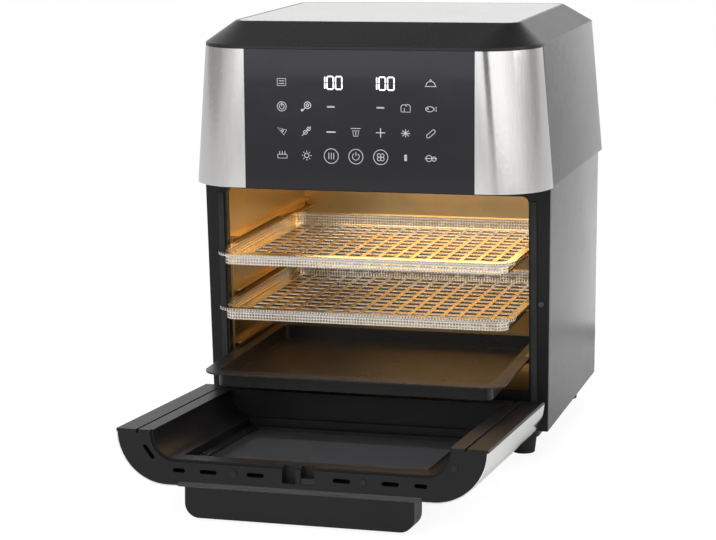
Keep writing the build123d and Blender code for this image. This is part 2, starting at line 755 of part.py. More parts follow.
def front_frame():
    """Black frame round the mouth: a flange over the panels' edges and a band that fits inside them."""
    frame = body_block(PANEL_T + FIT)
    frame &= middle_block(WIDTH, FRAME_Y, FRAME_BACK, BODY_FOOT_Z, SEAM_Z)
    flange = middle_block(WIDTH, FRAME_Y, FRAME_Y + FRAME_FLANGE, BODY_FOOT_Z, SEAM_Z)
    frame += body_block(0) & flange
    mouth = RectangleRounded(2 * MOUTH_HALF, MOUTH_TOP - CAVITY_FLOOR, MOUTH_R)
    opening = Pos(0, FRAME_Y - OVER, (CAVITY_FLOOR + MOUTH_TOP) / 2) * Rot(90, 0, 0) * mouth
    frame -= extrude(opening, -FRAME_T - 2 * OVER)
    y0, y1 = FRAME_Y - OVER, FRAME_BACK + OVER
    for side in (-1, 1):
        x = side * EAR_X
        half = EAR_T / 2 + FIT
        reach = EAR_R + FIT
        frame -= block(x - half, x + half, y0, y1, HINGE_Z - reach, HINGE_Z + reach)
    return frame - along_y(PLUNGER_R + FIT, y0, y1, SWITCH_X, SWITCH_Z)


def frame_gasket():
    """Seal down both sides and along the foot of the oven's mouth."""
    inner = GROOVE_X + GASKET_OUT
    foot = OPEN_Z - GASKET_LAP - GASKET_W
    y0 = FRAME_Y - GASKET_T
    seal = middle_block(inner + GASKET_W, y0, FRAME_Y, foot, MOUTH_TOP - GASKET_DROP)
    return seal - middle_block(inner, y0 - OVER, FRAME_Y + OVER, foot + GASKET_W, MOUTH_TOP)


def base_pan():
    """Floor tray: a flange that carries the panels, and a plinth set in under it."""
    flange_top = BODY_FOOT_Z + BASE_WALL
    flange = standing(body_plan(PANEL_T + FIT, BODY_FOOT_Z), BODY_FOOT_Z, flange_top)
    front_cut = middle_block(WIDTH, FRONT, FRAME_BACK + FIT, 0, SEAM_Z)
    half = WIDTH / 2 - BODY_STEP - BODY_TAPER - PLINTH_INSET
    y0, y1 = FRAME_Y + PLINTH_INSET, BACK - BODY_STEP - BODY_TAPER - PLINTH_INSET
    plinth = standing(plan(half, y0, y1, PLINTH_R, PLINTH_R), FOOT_H, flange_top)
    inner_r = PLINTH_R - BASE_WALL
    room = plan(half - BASE_WALL, y0 + BASE_WALL, y1 - BASE_WALL, inner_r, inner_r)
    pan = flange - front_cut + plinth - standing(room, FOOT_H + BASE_WALL, flange_top + OVER)
    intake = extrude(SlotOverall(INTAKE_LENGTH, INTAKE_W), 2 * BASE_WALL, both=True)
    for column in range(INTAKE_COLUMNS):
        x = (column - (INTAKE_COLUMNS - 1) / 2) * INTAKE_PITCH_X
        for row in range(INTAKE_ROWS):
            y = FAN_Y + (row - (INTAKE_ROWS - 1) / 2) * INTAKE_PITCH_Y
            pan -= Pos(x, y, FOOT_H) * intake
    return pan


def foot_places():
    half = WIDTH / 2 - BODY_STEP - BODY_TAPER - FOOT_INSET_X
    for x in (-half, half):
        for y in (FRAME_Y + FOOT_INSET_Y, BACK - FOOT_INSET_Y):
            yield x, y


def feet():
    """Four rubber feet, each with a sunk bore for its screw."""
    pads = []
    for x, y in foot_places():
        pad = Pos(x, y, FOOT_H / 2) * Cone(FOOT_R - FOOT_DRAFT, FOOT_R, FOOT_H)
        pads.append(pad - upright(FOOT_BORE_R, -OVER, FOOT_BORE_DEEP, x, y))
    return group(pads)


# Cavity

def cavity_liner():
    """Folded steel box, open at the front and the top."""
    half, t = CAVITY_HALF, SHEET
    box = middle_block(half + t, FRAME_BACK, LINER_BACK + t, CAVITY_FLOOR - t, CEILING_Z)
    return box - middle_block(half, FRAME_BACK - OVER, LINER_BACK, CAVITY_FLOOR, CEILING_Z + OVER)


def cavity_ceiling():
    """Steel sheet over the liner, with the element's round opening and the lamp's hole."""
    z0, z1 = CEILING_Z - OVER, SEAM_Z + OVER
    sheet = middle_block(CAVITY_HALF + SHEET, FRAME_BACK, LINER_BACK + SHEET, CEILING_Z, SEAM_Z)
    sheet -= upright(GUARD_R - GUARD_LAP, z0, z1, 0, FAN_Y)
    sheet -= upright(LAMP_R - LENS_LAP, z0, z1, LAMP_X, LAMP_Y)
    return sheet - upright(PROBE_R + PROBE_HOLE, z0, z1, PROBE_X, PROBE_Y)


def rack_z(level):
    """Top of the rim of the tray on a level, counted from the lowest."""
    return LOW_RACK_Z + level * RACK_PITCH


def rack_rails():
    """Three pairs of flanges on a strip against each wall: each pair takes one tray's rim."""
    strips = []
    y0, y1 = FRAME_BACK + RAIL_FRONT, LINER_BACK - RAIL_BACK
    for side in (-1, 1):
        wall = side * CAVITY_HALF
        lower_end = side * (CAVITY_HALF - RAIL_REACH)
        upper_end = lower_end + side * RAIL_SHORT
        top = rack_z(RAIL_LEVELS - 1) + RAIL_OVER + SHEET
        rail = block(wall, wall - side * SHEET, y0, y1, CAVITY_FLOOR + RAIL_FOOT, top)
        for level in range(RAIL_LEVELS):
            rim = RIM_T if level else DRIP_RIM_T
            under = rack_z(level) - rim - RAIL_SLACK
            over = rack_z(level) + RAIL_OVER
            rail += block(wall, lower_end, y0, y1, under - SHEET, under)
            rail += block(wall, upper_end, y0, y1, over, over + SHEET)
        strips.append(rail)
    return group(strips)


def tray_shell(z, y0, length, deep, rim_w, rim_t):
    """Rim, walls and floor of a shallow tray whose front edge is at y0."""
    y1 = y0 + length

    def outline(inset):
        return plan(RACK_HALF - inset, y0 + inset, y1 - inset, RACK_R - inset, RACK_R - inset)

    rim = standing(outline(0), z - rim_t, z)
    pan = standing(outline(rim_w), z - deep, z)
    return rim + pan - standing(outline(rim_w + RACK_WALL), z - deep + RACK_WALL, z + OVER)


def mesh_rack(level):
    """Tray with an open floor: a flat net of square gaps."""
    y0 = FRAME_Y + RACK_HOME - RACK_OUT
    z = rack_z(level)
    rack = tray_shell(z, y0, RACK_LENGTH, RACK_DEPTH, RIM_W, RIM_T)
    border = 2 * (RIM_W + RACK_WALL) + MESH_LAND
    across = int((2 * RACK_HALF - border) // MESH_PITCH)
    along = int((RACK_LENGTH - border) // MESH_PITCH)
    gaps = GridLocations(MESH_PITCH, MESH_PITCH, across, along) * Rectangle(MESH_HOLE, MESH_HOLE)
    net = Pos(0, y0 + RACK_LENGTH / 2, z - RACK_DEPTH - OVER) * Sketch(children=gaps)
    return rack - extrude(net, RACK_WALL + 2 * OVER)


def top_rack():
    return mesh_rack(2)


def middle_rack():
    return mesh_rack(1)


def drip_tray():
    y0 = FRAME_Y + DRIP_HOME - DRIP_OUT
    return tray_shell(rack_z(0), y0, DRIP_LENGTH, DRIP_DEPTH, DRIP_RIM_W, DRIP_RIM_T)


# Air movement and heat

def element_guard():
    """Round steel guard under the element, with rings of slots."""
    z0 = CEILING_Z - SHEET
    guard = upright(GUARD_R, z0, CEILING_Z, 0, FAN_Y)
    for ring, count in GUARD_RINGS:
        length = 2 * pi * ring / count * GUARD_SLOT_SHARE
        slot = Pos(ring, 0, z0 - OVER) * Rot(0, 0, 90) * SlotOverall(length, GUARD_SLOT_W)
        hole = extrude(slot, SHEET + 2 * OVER)
        for k in range(count):
            guard -= turned(hole, k, 360 / count)
    return guard


def guard_screws():
    """Four socket screws that hold the guard up to the ceiling."""
    heads = []
    top = CEILING_Z - SHEET
    foot = top - GUARD_SCREW_H
    reach = GUARD_R - GUARD_SCREW_IN
    for k in range(4):
        angle = radians(45 + 90 * k)
        x, y = reach * cos(angle), FAN_Y + reach * sin(angle)
        socket = upright(GUARD_SCREW_HEX_R, foot - OVER, foot + GUARD_SCREW_HEX_DEEP, x, y)
        heads.append(upright(GUARD_SCREW_R, foot, top, x, y) - socket)
    return group(heads)


def heater_dome():
    """Inverted steel pan that holds the element and the fan."""
    dome = upright(DOME_R, SEAM_Z, DOME_TOP, 0, FAN_Y)
    dome = fillet(dome.edges().group_by(Axis.Z)[-1], DOME_EDGE_R)
    room = upright(DOME_R - SHEET, SEAM_Z - OVER, DOME_TOP - SHEET, 0, FAN_Y)
    room = fillet(room.edges().group_by(Axis.Z)[-1], DOME_EDGE_R - SHEET)
    dome -= room
    z0, z1 = DOME_TOP - SHEET - OVER, DOME_TOP + OVER
    dome -= upright(SHAFT_R + SHAFT_HOLE, z0, z1, 0, FAN_Y)
    for x, y in element_ends():
        dome -= upright(BUSH_R + PLAY, z0, z1, x, y)
    return dome


def element_arcs():
    """Half circles whose radius grows by half a step each time: (centre x, radius, way round)."""
    x = ELEMENT_INNER
    for k in range(ELEMENT_HALF_TURNS):
        radius = ELEMENT_INNER + k * ELEMENT_STEP / 2
        way = 1 if k % 2 == 0 else -1
        yield x - way * radius, radius, way
        x -= 2 * way * radius


def element_ends():
    """Where the element's two terminals rise through the dome."""
    centre, radius, way = list(element_arcs())[-1]
    yield ELEMENT_INNER, FAN_Y - ELEMENT_BEND
    yield centre - way * radius, FAN_Y - way * ELEMENT_BEND


def quarter_bend(a, b, centre):
    """A quarter circle from a to b about a centre."""
    a, b, c = Vector(*a), Vector(*b), Vector(*centre)
    half = ((a - c) + (b - c)).normalized() * (a - c).length
    return ThreePointArc(a, c + half, b)


def heating_element():
    """One spiral tube whose ends turn up through the dome."""
    z = SEAM_Z + ELEMENT_RISE
    bend_z, top = z + ELEMENT_BEND, DOME_TOP + ELEMENT_TOP
    (sx, sy), (ex, ey) = element_ends()
    edges = [Line((sx, sy, top), (sx, sy, bend_z))]
    edges.append(quarter_bend((sx, sy, bend_z), (sx, FAN_Y, z), (sx, FAN_Y, bend_z)))
    for centre, radius, way in element_arcs():
        start = (centre + way * radius, FAN_Y, z)
        side = (centre, FAN_Y + way * radius, z)
        edges.append(ThreePointArc(start, side, (centre - way * radius, FAN_Y, z)))
    edges.append(quarter_bend((ex, FAN_Y, z), (ex, ey, bend_z), (ex, FAN_Y, bend_z)))
    edges.append(Line((ex, ey, bend_z), (ex, ey, top)))
    return sweep(Pos(sx, sy, top) * Circle(ELEMENT_R), path=Wire(edges))


def element_bushes():
    """Ceramic bushes that hold the element's ends in the dome."""
    bushes = []
    z0, z1 = DOME_TOP - BUSH_DOWN, DOME_TOP + BUSH_UP
    for x, y in element_ends():
        bush = upright(BUSH_R, z0, z1, x, y)
        bush += upright(BUSH_R + BUSH_FLANGE, DOME_TOP, DOME_TOP + BUSH_FLANGE_T, x, y)
        bushes.append(bush - upright(ELEMENT_R + PLAY, z0 - OVER, z1 + OVER, x, y))
    return group(bushes)


def fan_shaft():
    foot = SEAM_Z + FAN_RISE - SHAFT_DROP
    return upright(SHAFT_R, foot, MOTOR_Z + MOTOR_H + SHAFT_RISE, 0, FAN_Y)


def blade_wheel(radius, z0, height, hub_r):
    """A backplate with upright blades and a hub, bored for the shaft."""
    z1 = z0 + height
    wheel = upright(radius, z1 - BLADE_T, z1, 0, FAN_Y) + upright(hub_r, z0, z1, 0, FAN_Y)
    blade = block(hub_r - OVER, radius, -BLADE_T / 2, BLADE_T / 2, z0, z1)
    for k in range(BLADES):
        wheel += turned(blade, k, 360 / BLADES)
    return wheel - upright(SHAFT_R, z0 - OVER, z1 + OVER, 0, FAN_Y)


def convection_fan():
    return blade_wheel(FAN_R, SEAM_Z + FAN_RISE, FAN_H, FAN_HUB_R)


def cooling_fan():
    return blade_wheel(COOLER_R, COOLER_Z, COOLER_H, COOLER_HUB_R)


def motor_bracket():
    """Pressed plate on three legs that stands on the dome and carries the motor."""
    half, z = BRACKET_LEG_W / 2, BRACKET_Z
    inner = BRACKET_LEG_R - BRACKET_LEG_IN
    leg = block(inner, BRACKET_LEG_R + BRACKET_T, -half, half, DOME_TOP, MOTOR_Z)
    leg -= block(inner - OVER, BRACKET_LEG_R, -half - OVER, half + OVER, DOME_TOP + BRACKET_T, z)
    plate = upright(BRACKET_LEG_R, z, MOTOR_Z, 0, FAN_Y)
    for k in range(BRACKET_LEGS):
        plate += turned(leg, k, 360 / BRACKET_LEGS, 90)
    return plate - upright(SHAFT_R + BRACKET_HOLE, z - OVER, MOTOR_Z + OVER, 0, FAN_Y)


def motor_stator():
    """Ring of iron with a slot for each coil."""
    ring = upright(MOTOR_R, STATOR_Z0, STATOR_Z1, 0, FAN_Y)
    ring -= upright(ROTOR_R + ROTOR_GAP, STATOR_Z0 - OVER, STATOR_Z1 + OVER, 0, FAN_Y)
    slot_in = ROTOR_R + COIL_OUT
    coil = block(
        slot_in, slot_in + COIL_D, -COIL_W / 2, COIL_W / 2, STATOR_Z0 + COIL_END, STATOR_Z1 - COIL_END
    )
    for k in range(COIL_COUNT):
        ring -= turned(coil, k, 360 / COIL_COUNT, 45)
    return ring


def motor_covers():
    """Two end covers, each with its bearing round the shaft."""
    covers = []
    for z0 in (MOTOR_Z, STATOR_Z1):
        bearing = upright(SHAFT_R + PLAY, z0 - OVER, z0 + COVER_T + OVER, 0, FAN_Y)
        covers.append(upright(MOTOR_R, z0, z0 + COVER_T, 0, FAN_Y) - bearing)
    return group(covers)


def motor_rotor():
    z0, z1 = STATOR_Z0 + ROTOR_END, STATOR_Z1 - ROTOR_END
    return upright(ROTOR_R, z0, z1, 0, FAN_Y) - upright(SHAFT_R, z0 - OVER, z1 + OVER, 0, FAN_Y)


def thermal_cutout():
    """Round cutout with a fixing tab on each side, flat on the dome."""
    y = FAN_Y - CUTOUT_FORWARD
    half, wide = CUTOUT_TAB_HALF, CUTOUT_TAB_W / 2
    body = upright(CUTOUT_R, DOME_TOP, DOME_TOP + CUTOUT_H, CUTOUT_X, y)
    tab_top = DOME_TOP + CUTOUT_TAB_T
    return body + block(CUTOUT_X - half, CUTOUT_X + half, y - wide, y + wide, DOME_TOP, tab_top)


# Lamp and probe

def lamp_holder():
    """Steel cup over the lamp, open to the cavity."""
    top = SEAM_Z + LAMP_H
    cup = upright(LAMP_R, SEAM_Z, top, LAMP_X, LAMP_Y)
    return cup - upright(LAMP_R - SHEET, SEAM_Z - OVER, top - LAMP_SOCKET, LAMP_X, LAMP_Y)


def lamp_bulb():
    socket = SEAM_Z + LAMP_H - LAMP_SOCKET
    bulb = Pos(LAMP_X, LAMP_Y, socket - BULB_DROP) * Sphere(BULB_R)
    return bulb + upright(BULB_NECK_R, socket - BULB_NECK, socket, LAMP_X, LAMP_Y)


def lamp_lens():
    """Stepped lens: a disc on the ceiling and a boss through its hole."""
    lens = upright(LAMP_R - SHEET - FIT, SEAM_Z, SEAM_Z + LENS_T, LAMP_X, LAMP_Y)
    boss_r = LAMP_R - LENS_LAP - FIT
    return lens + upright(boss_r, CEILING_Z - LENS_DROP, SEAM_Z + OVER, LAMP_X, LAMP_Y)


def temperature_probe():
    """Sensor rod through the ceiling and the deck."""
    return upright(PROBE_R, CEILING_Z - PROBE_DROP, DECK_Z + PROBE_RISE, PROBE_X, PROBE_Y)


# Power supply

def power_board():
    foot = DECK_Z + POWER_LIFT
    return block(POWER_X, POWER_X + BOARD_T, POWER_Y0, POWER_Y1, foot, foot + POWER_H)


def power_part(tall, start, length, low, height):
    """One part soldered to the power board, placed from the board's front end and its foot."""
    x, y, z = POWER_X + BOARD_T, POWER_Y0 + start, DECK_Z + POWER_LIFT + low
    return block(x, x + tall, y, y + length, z, z + height)


def power_parts():
    """Relay, capacitor, transformer and terminal block."""
    relay = power_part(RELAY_TALL, RELAY_START, RELAY_LENGTH, RELAY_LOW, RELAY_H)
    film = power_part(FILM_TALL, FILM_START, FILM_LENGTH, FILM_LOW, FILM_H)
    core = power_part(CORE_TALL, CORE_START, CORE_LENGTH, CORE_LOW, CORE_H)
    terminals = power_part(TERMINAL_TALL, TERMINAL_START, TERMINAL_LENGTH, TERMINAL_LOW, TERMINAL_H)
    return group([relay, film, core, terminals])


def ribbon_cable():
    """Flat lead along the deck, from the power board to the foot of the control board."""
    x0 = RIBBON_IN - BOARD_HALF
    x1 = x0 + RIBBON_W
    side_x = POWER_X + BOARD_T
    y0, y1 = BOARD_Y + BOARD_T, POWER_Y0 - RIBBON_AHEAD
    turn_y = y1 - RIBBON_W
    t = RIBBON_T
    run = block(x0, x1, y0, y1, DECK_Z, DECK_Z + t)
    run += block(x0, x1, y0, y0 + t, DECK_Z, BOARD_Z0 + RIBBON_PLUG)
    run += block(side_x, x1, turn_y, y1, DECK_Z, DECK_Z + t)
    run += block(side_x, side_x + t, turn_y, y1, DECK_Z, DECK_Z + RIBBON_HIGH)
    band_end = POWER_Y0 + RIBBON_PLUG
    return run + block(side_x, side_x + t, turn_y, band_end, DECK_Z + RIBBON_LOW, DECK_Z + RIBBON_HIGH)


# Door switch

def door_switch():
    """Microswitch body behind the front frame."""
    body = block(
        SWITCH_X - SWITCH_INNER, SWITCH_X + SWITCH_OUTER, FRAME_BACK, FRAME_BACK + SWITCH_D,
        SWITCH_Z - SWITCH_H / 2, SWITCH_Z + SWITCH_H / 2,
    )
    return body - along_y(PLUNGER_R + FIT, FRAME_BACK - OVER, FRAME_BACK + SWITCH_BORE, SWITCH_X, SWITCH_Z)


def switch_plunger():
    return along_y(PLUNGER_R, FRAME_Y - PLUNGER_OUT, FRAME_BACK + PLUNGER_IN, SWITCH_X, SWITCH_Z)


# Hinge

def hinge_brackets():
    """A steel ear each side that reaches forward through the front frame."""
    pair = []
    for side in (-1, 1):
        x = side * EAR_X
        x0, x1 = x - EAR_T / 2, x + EAR_T / 2
        tail, arm_foot = FRAME_BACK + EAR_TAIL, HINGE_Z - EAR_DROP
        ear = block(x0, x1, HINGE_Y, tail, arm_foot, HINGE_Z + EAR_R)
        ear += along_x(EAR_R, x0, x1, HINGE_Y, HINGE_Z)
        ear += block(
            x - EAR_PLATE_W / 2, x + EAR_PLATE_W / 2, FRAME_BACK, FRAME_BACK + EAR_PLATE_T,
            BODY_FOOT_Z + BASE_WALL, HINGE_Z + EAR_PLATE_RISE,
        )
        pair.append(ear - along_x(PIN_R, x0 - OVER, x1 + OVER, HINGE_Y, HINGE_Z))
    return group(pair)


def hinge_pins():
    pins = []
    for side in (-1, 1):
        x = side * EAR_X
        pins.append(along_x(PIN_R, x - PIN_HALF, x + PIN_HALF, HINGE_Y, HINGE_Z))
    return group(pins)


# Door, modelled shut and then swung open

def swung_open(shape):
    return shape.rotate(Axis((0, HINGE_Y, HINGE_Z), (1, 0, 0)), OPEN_ANGLE)


def door_block(inset, z0, z1):
    return standing(plan(DOOR_HALF - inset, DOOR_Y + inset, DOOR_BACK, DOOR_R - inset, 0), z0, z1)


def basin(grow):
    """The door's hollow seen from its end: open at the back, rounded where it meets its floor."""
    return plan(BASIN_HALF + grow, BAR_Y - grow, DOOR_BACK + OVER, BASIN_R + grow, 0)


def slot_in_end(place, length):
    """A cutting shape for one cooling slot in the door's top end."""
    return extrude(place * SlotOverall(length, SLOT_W), SLOT_DEEP + OVER)


def end_slots():
    """Cooling slots each side of the catch, and a slanting one in the corner of the end."""
    z = DOOR_TOP - SLOT_DEEP
    for x, length in ((SLOT_NEAR_X, LONG_SLOT), (SLOT_MID_X, LONG_SLOT), (SLOT_FAR_X, SHORT_SLOT)):
        for side in (-1, 1):
            yield slot_in_end(Pos(side * x, SLOT_Y, z), length)
    corner = Pos(-BASIN_HALF - CORNER_SLOT_OUT, DOOR_Y + CORNER_SLOT_BACK, z)
    yield slot_in_end(corner * Rot(0, 0, CORNER_SLOT_TURN), CORNER_SLOT)


def door_frame():
    """Black moulding: grooved side rails and end bars round the window."""
    z0, z1 = DOOR_FOOT_Z, DOOR_TOP
    low, high = z0 - OVER, z1 + OVER
    front, back = DOOR_Y - OVER, DOOR_BACK + OVER
    steel = middle_block(DOOR_HALF, front, DOOR_BACK - TRIM_BACK, low, high)
    body = door_block(TRIM_T, z0, z1) + (door_block(0, z0, z1) - steel)
    body -= middle_block(PANEL_HALF, front, DOOR_Y + DOOR_GLASS_T, low, high)
    body -= standing(basin(0), OPEN_Z, high)
    body -= standing(basin(BASIN_LIP), z1 - LIP_T, high)
    body -= middle_block(RECESS_HALF, INNER_GLASS_Y, DOOR_BACK, RECESS_Z0, RECESS_Z1)
    body -= middle_block(RECESS_HALF - SEAT_W, front, DOOR_BACK, RECESS_Z0 + SEAT_W, RECESS_Z1 - SEAT_W)
    below_hinge = middle_block(WIDTH, front, back, low, HINGE_Z)
    body -= below_hinge - along_x(SWING_R, -WIDTH - OVER, WIDTH + OVER, HINGE_Y, HINGE_Z)
    for slot in end_slots():
        body -= slot
    for side in (-1, 1):
        x = side * CATCH_X
        body -= block(x - CATCH_W / 2, x + CATCH_W / 2, BAR_Y - CATCH_DEEP, BAR_Y + OVER, z1 - CATCH_H, high)
        x = side * GROOVE_X
        body -= block(x, x - side * GROOVE_W, DOOR_BACK - GROOVE_DEEP, back, OPEN_Z, high)
        x = side * EAR_X
        gap = EAR_T / 2 + 2 * FIT
        body -= block(x - gap, x + gap, HINGE_Y - EAR_R - OVER, back, low, HINGE_Z + EAR_R + OVER)
        reach = PIN_HALF + OVER
        body -= along_x(PIN_R + PLAY, x - reach, x + reach, HINGE_Y, HINGE_Z)
    return body


def door_catch():
    """Steel striker at the bottom of one of the catch's pockets."""
    half = CATCH_W / 2 - FIT
    y = BAR_Y - CATCH_DEEP
    top = DOOR_TOP - STRIKER_LOW
    return block(CATCH_X - half, CATCH_X + half, y, y + STRIKER_T, DOOR_TOP - CATCH_H, top)


def door_front_glass():
    half = PANEL_HALF - PANEL_GAP
    return middle_block(half, DOOR_Y, DOOR_Y + DOOR_GLASS_T, DOOR_FOOT_Z + TRIM_FOOT, DOOR_TOP)


def recess_block(y, thick):
    """A slab that fits the window's recess."""
    return middle_block(RECESS_HALF - FIT, y, y + thick, RECESS_Z0 + FIT, RECESS_Z1 - FIT)


def door_inner_glass():
    return recess_block(INNER_GLASS_Y, INNER_GLASS_T)


def door_bezel():
    """Thin frame that clamps the inner glass to its seat."""
    ring = recess_block(INNER_GLASS_Y + INNER_GLASS_T, BEZEL_T)
    half = RECESS_HALF - SEAT_W
    return ring - middle_block(half, DOOR_Y, DOOR_BACK, RECESS_Z0 + SEAT_W, RECESS_Z1 - SEAT_W)


def door_trim(side):
    """Steel wrap from the glass round the corner to the side."""
    z0, z1 = DOOR_FOOT_Z + TRIM_FOOT, DOOR_TOP
    wrap = door_block(0, z0, z1) - door_block(TRIM_T, z0 - OVER, z1 + OVER)
    edge = DOOR_BACK - TRIM_BACK
    return wrap & block(side * PANEL_HALF, side * WIDTH, DOOR_Y - OVER, edge, z0, z1)


def left_door_trim():
    return door_trim(-1)


def right_door_trim():
    return door_trim(1)


def door_handle():
    """Wide lip along the door's top edge, hollow behind for the fingers."""
    y0, y1 = DOOR_Y - HANDLE_OUT, DOOR_Y
    z0, z1 = DOOR_TOP - HANDLE_H, DOOR_TOP
    lip = standing(plan(HANDLE_HALF, y0, y1, HANDLE_R, 0), z0, z1)
    half = HANDLE_HALF - HANDLE_WALL
    room = plan(half, y0 + HANDLE_WALL, y1 + OVER, HANDLE_R - HANDLE_WALL / 2, 0)
    root = middle_block(half, y1 - HANDLE_ROOT, y1, z1 - HANDLE_H / 2, z1)
    return lip - standing(room, z0 - OVER, z1 - HANDLE_WALL) + root


def door_screws():
    """Screw heads in the door's top end and on the bezel."""
    heads = []
    seat = DOOR_TOP + SEATED
    corner = (BASIN_HALF + END_SCREW_OUT, SLOT_Y + END_SCREW_BACK)
    for x, y in ((-END_SCREW_X, SLOT_Y), (END_SCREW_X, SLOT_Y), corner):
        heads.append(upright(END_SCREW_R, seat, seat + END_SCREW_H, x, y))
    y = INNER_GLASS_Y + INNER_GLASS_T + BEZEL_T + SEATED
    x = RECESS_HALF - SEAT_W / 2
    for side in (-1, 1):
        for z in (RECESS_Z0 + BEZEL_SCREW, RECESS_Z1 - BEZEL_SCREW):
            heads.append(along_y(BEZEL_SCREW_R, y, y + BEZEL_SCREW_H, side * x, z))
    return group(heads)


# Output: each piece is named after the function that makes it

STANDING_PIECES = (
    head_shell, top_plate, control_glass, left_head_trim, right_head_trim, panel_carrier,
    control_board, display_module, touch_springs, head_floor, catch_magnet,
    left_side_panel, right_side_panel, rear_panel, cord_gland, wall_spacers, rear_screws,
    front_frame, frame_gasket, base_pan, feet,
    cavity_liner, cavity_ceiling, rack_rails, top_rack, middle_rack, drip_tray,
    element_guard, guard_screws, heater_dome, heating_element, element_bushes,
    fan_shaft, convection_fan, cooling_fan,
    motor_bracket, motor_stator, motor_covers, motor_rotor, thermal_cutout,
    lamp_holder, lamp_bulb, lamp_lens, temperature_probe,
    power_board, power_parts, ribbon_cable, door_switch, switch_plunger,
    hinge_brackets, hinge_pins,
)
DOOR_PIECES = (
    door_frame, door_front_glass, door_inner_glass, door_bezel, left_door_trim, right_door_trim,
    door_handle, door_catch, door_screws,
)

os.makedirs("parts", exist_ok=True)
for make in STANDING_PIECES:
    save(make(), make.__name__)
for make in DOOR_PIECES:
    save(swung_open(make()), make.__name__)
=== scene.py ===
import json
import math

import bmesh
import bpy
from bpy.props import FloatProperty, FloatVectorProperty, PointerProperty
from bpy.types import Operator, Panel, PropertyGroup
from mathutils import Matrix, Vector


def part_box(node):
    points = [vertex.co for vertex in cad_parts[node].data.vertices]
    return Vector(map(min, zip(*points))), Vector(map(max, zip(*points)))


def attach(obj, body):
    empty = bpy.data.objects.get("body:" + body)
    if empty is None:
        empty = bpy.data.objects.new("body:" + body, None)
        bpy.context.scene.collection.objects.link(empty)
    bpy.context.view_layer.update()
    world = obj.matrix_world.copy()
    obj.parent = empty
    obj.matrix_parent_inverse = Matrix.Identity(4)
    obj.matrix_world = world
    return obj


bl_info = {
    "name": "Countertop Oven Dressing",
    "version": (1, 0, 0),
    "blender": (4, 5, 0),
    "location": "3D View > Sidebar > Oven",
    "description": "Finishes, panel markings, stage and camera for the countertop oven",
    "category": "Object",
}

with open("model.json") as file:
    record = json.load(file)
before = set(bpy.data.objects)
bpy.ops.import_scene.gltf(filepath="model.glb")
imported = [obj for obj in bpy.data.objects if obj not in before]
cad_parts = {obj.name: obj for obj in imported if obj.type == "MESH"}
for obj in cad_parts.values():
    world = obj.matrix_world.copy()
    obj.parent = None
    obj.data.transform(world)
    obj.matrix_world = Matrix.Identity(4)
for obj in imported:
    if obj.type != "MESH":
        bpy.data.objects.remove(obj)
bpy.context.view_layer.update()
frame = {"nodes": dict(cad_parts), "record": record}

MM = 0.001

# Places on the oven that a finish changes at
# Painted reflection: the panel glass is painted paler up this range
PANEL_PAINTED_REFLECTION_Z = (250.0 * MM, 370.0 * MM)   # the panel glass grows paler up this range
BULB_MIDDLE_Z = 262.0 * MM
BULB_HALF = 12.0 * MM

# Pierced walls of the mesh trays
MESH_PITCH = 2.6 * MM
MESH_HOLE_HALF = 0.80 * MM


# Node building

class Value:
    """A socket whose value varies over a surface. Arithmetic on it adds Math nodes."""

    def __init__(self, nodes, socket):
        self.nodes = nodes
        self.socket = socket

    def math(self, operation, first, second=0.0, clamp=False):
        return self.nodes.node(
            "ShaderNodeMath", {"operation": operation, "use_clamp": clamp}, {0: first, 1: second}
        )

    def __add__(self, other):
        return self.math("ADD", self, other)

    def __radd__(self, other):
        return self.math("ADD", other, self)

    def __sub__(self, other):
        return self.math("SUBTRACT", self, other)

    def __rsub__(self, other):
        return self.math("SUBTRACT", other, self)

    def __mul__(self, other):
        return self.math("MULTIPLY", self, other)

    def __rmul__(self, other):
        return self.math("MULTIPLY", other, self)

    def __truediv__(self, other):
        return self.math("DIVIDE", self, other)

    def __abs__(self):
        return self.math("ABSOLUTE", self)

    def clamped(self):
        return self.math("ADD", self, 0.0, clamp=True)

    def above(self, limit):
        return self.math("GREATER_THAN", self, limit)

    def wrapped(self, pitch):
        """The distance past the last whole pitch."""
        return self.math("FLOORED_MODULO", self, pitch)

    def smooth_step(self, low, high):
        """Rises from 0 at low to 1 at high."""
        return self.nodes.node(
            "ShaderNodeMapRange",
            {"interpolation_type": "SMOOTHSTEP"},
            {"Value": self, "From Min": low, "From Max": high, "To Min": 0.0, "To Max": 1.0},
        )


class Nodes:
    """One node tree, built node by node."""

    def __init__(self, tree):
        self.tree = tree
        tree.nodes.clear()

    def node(self, kind, settings=None, inputs=None, output=0):
        made = self.tree.nodes.new(kind)
        for name, value in (settings or {}).items():
            if name == "stops":
                self.set_stops(made.color_ramp, value)
            else:
                setattr(made, name, value)
        for name, value in (inputs or {}).items():
            self.feed(made.inputs[name], value)
        return Value(self, made.outputs[output])

    def set_stops(self, ramp, stops):
        for count, (place, level) in enumerate(stops):
            stop = ramp.elements[count] if count < 2 else ramp.elements.new(place)
            stop.position = place
            stop.color = (level, level, level, 1.0)

    def feed(self, socket, value):
        if isinstance(value, Value):
            self.tree.links.new(value.socket, socket)
        else:
            socket.default_value = value

    def split(self, vector):
        """The x, y and z of a vector."""
        parts = self.tree.nodes.new("ShaderNodeSeparateXYZ")
        self.feed(parts.inputs[0], vector)
        return [Value(self, parts.outputs[axis]) for axis in range(3)]


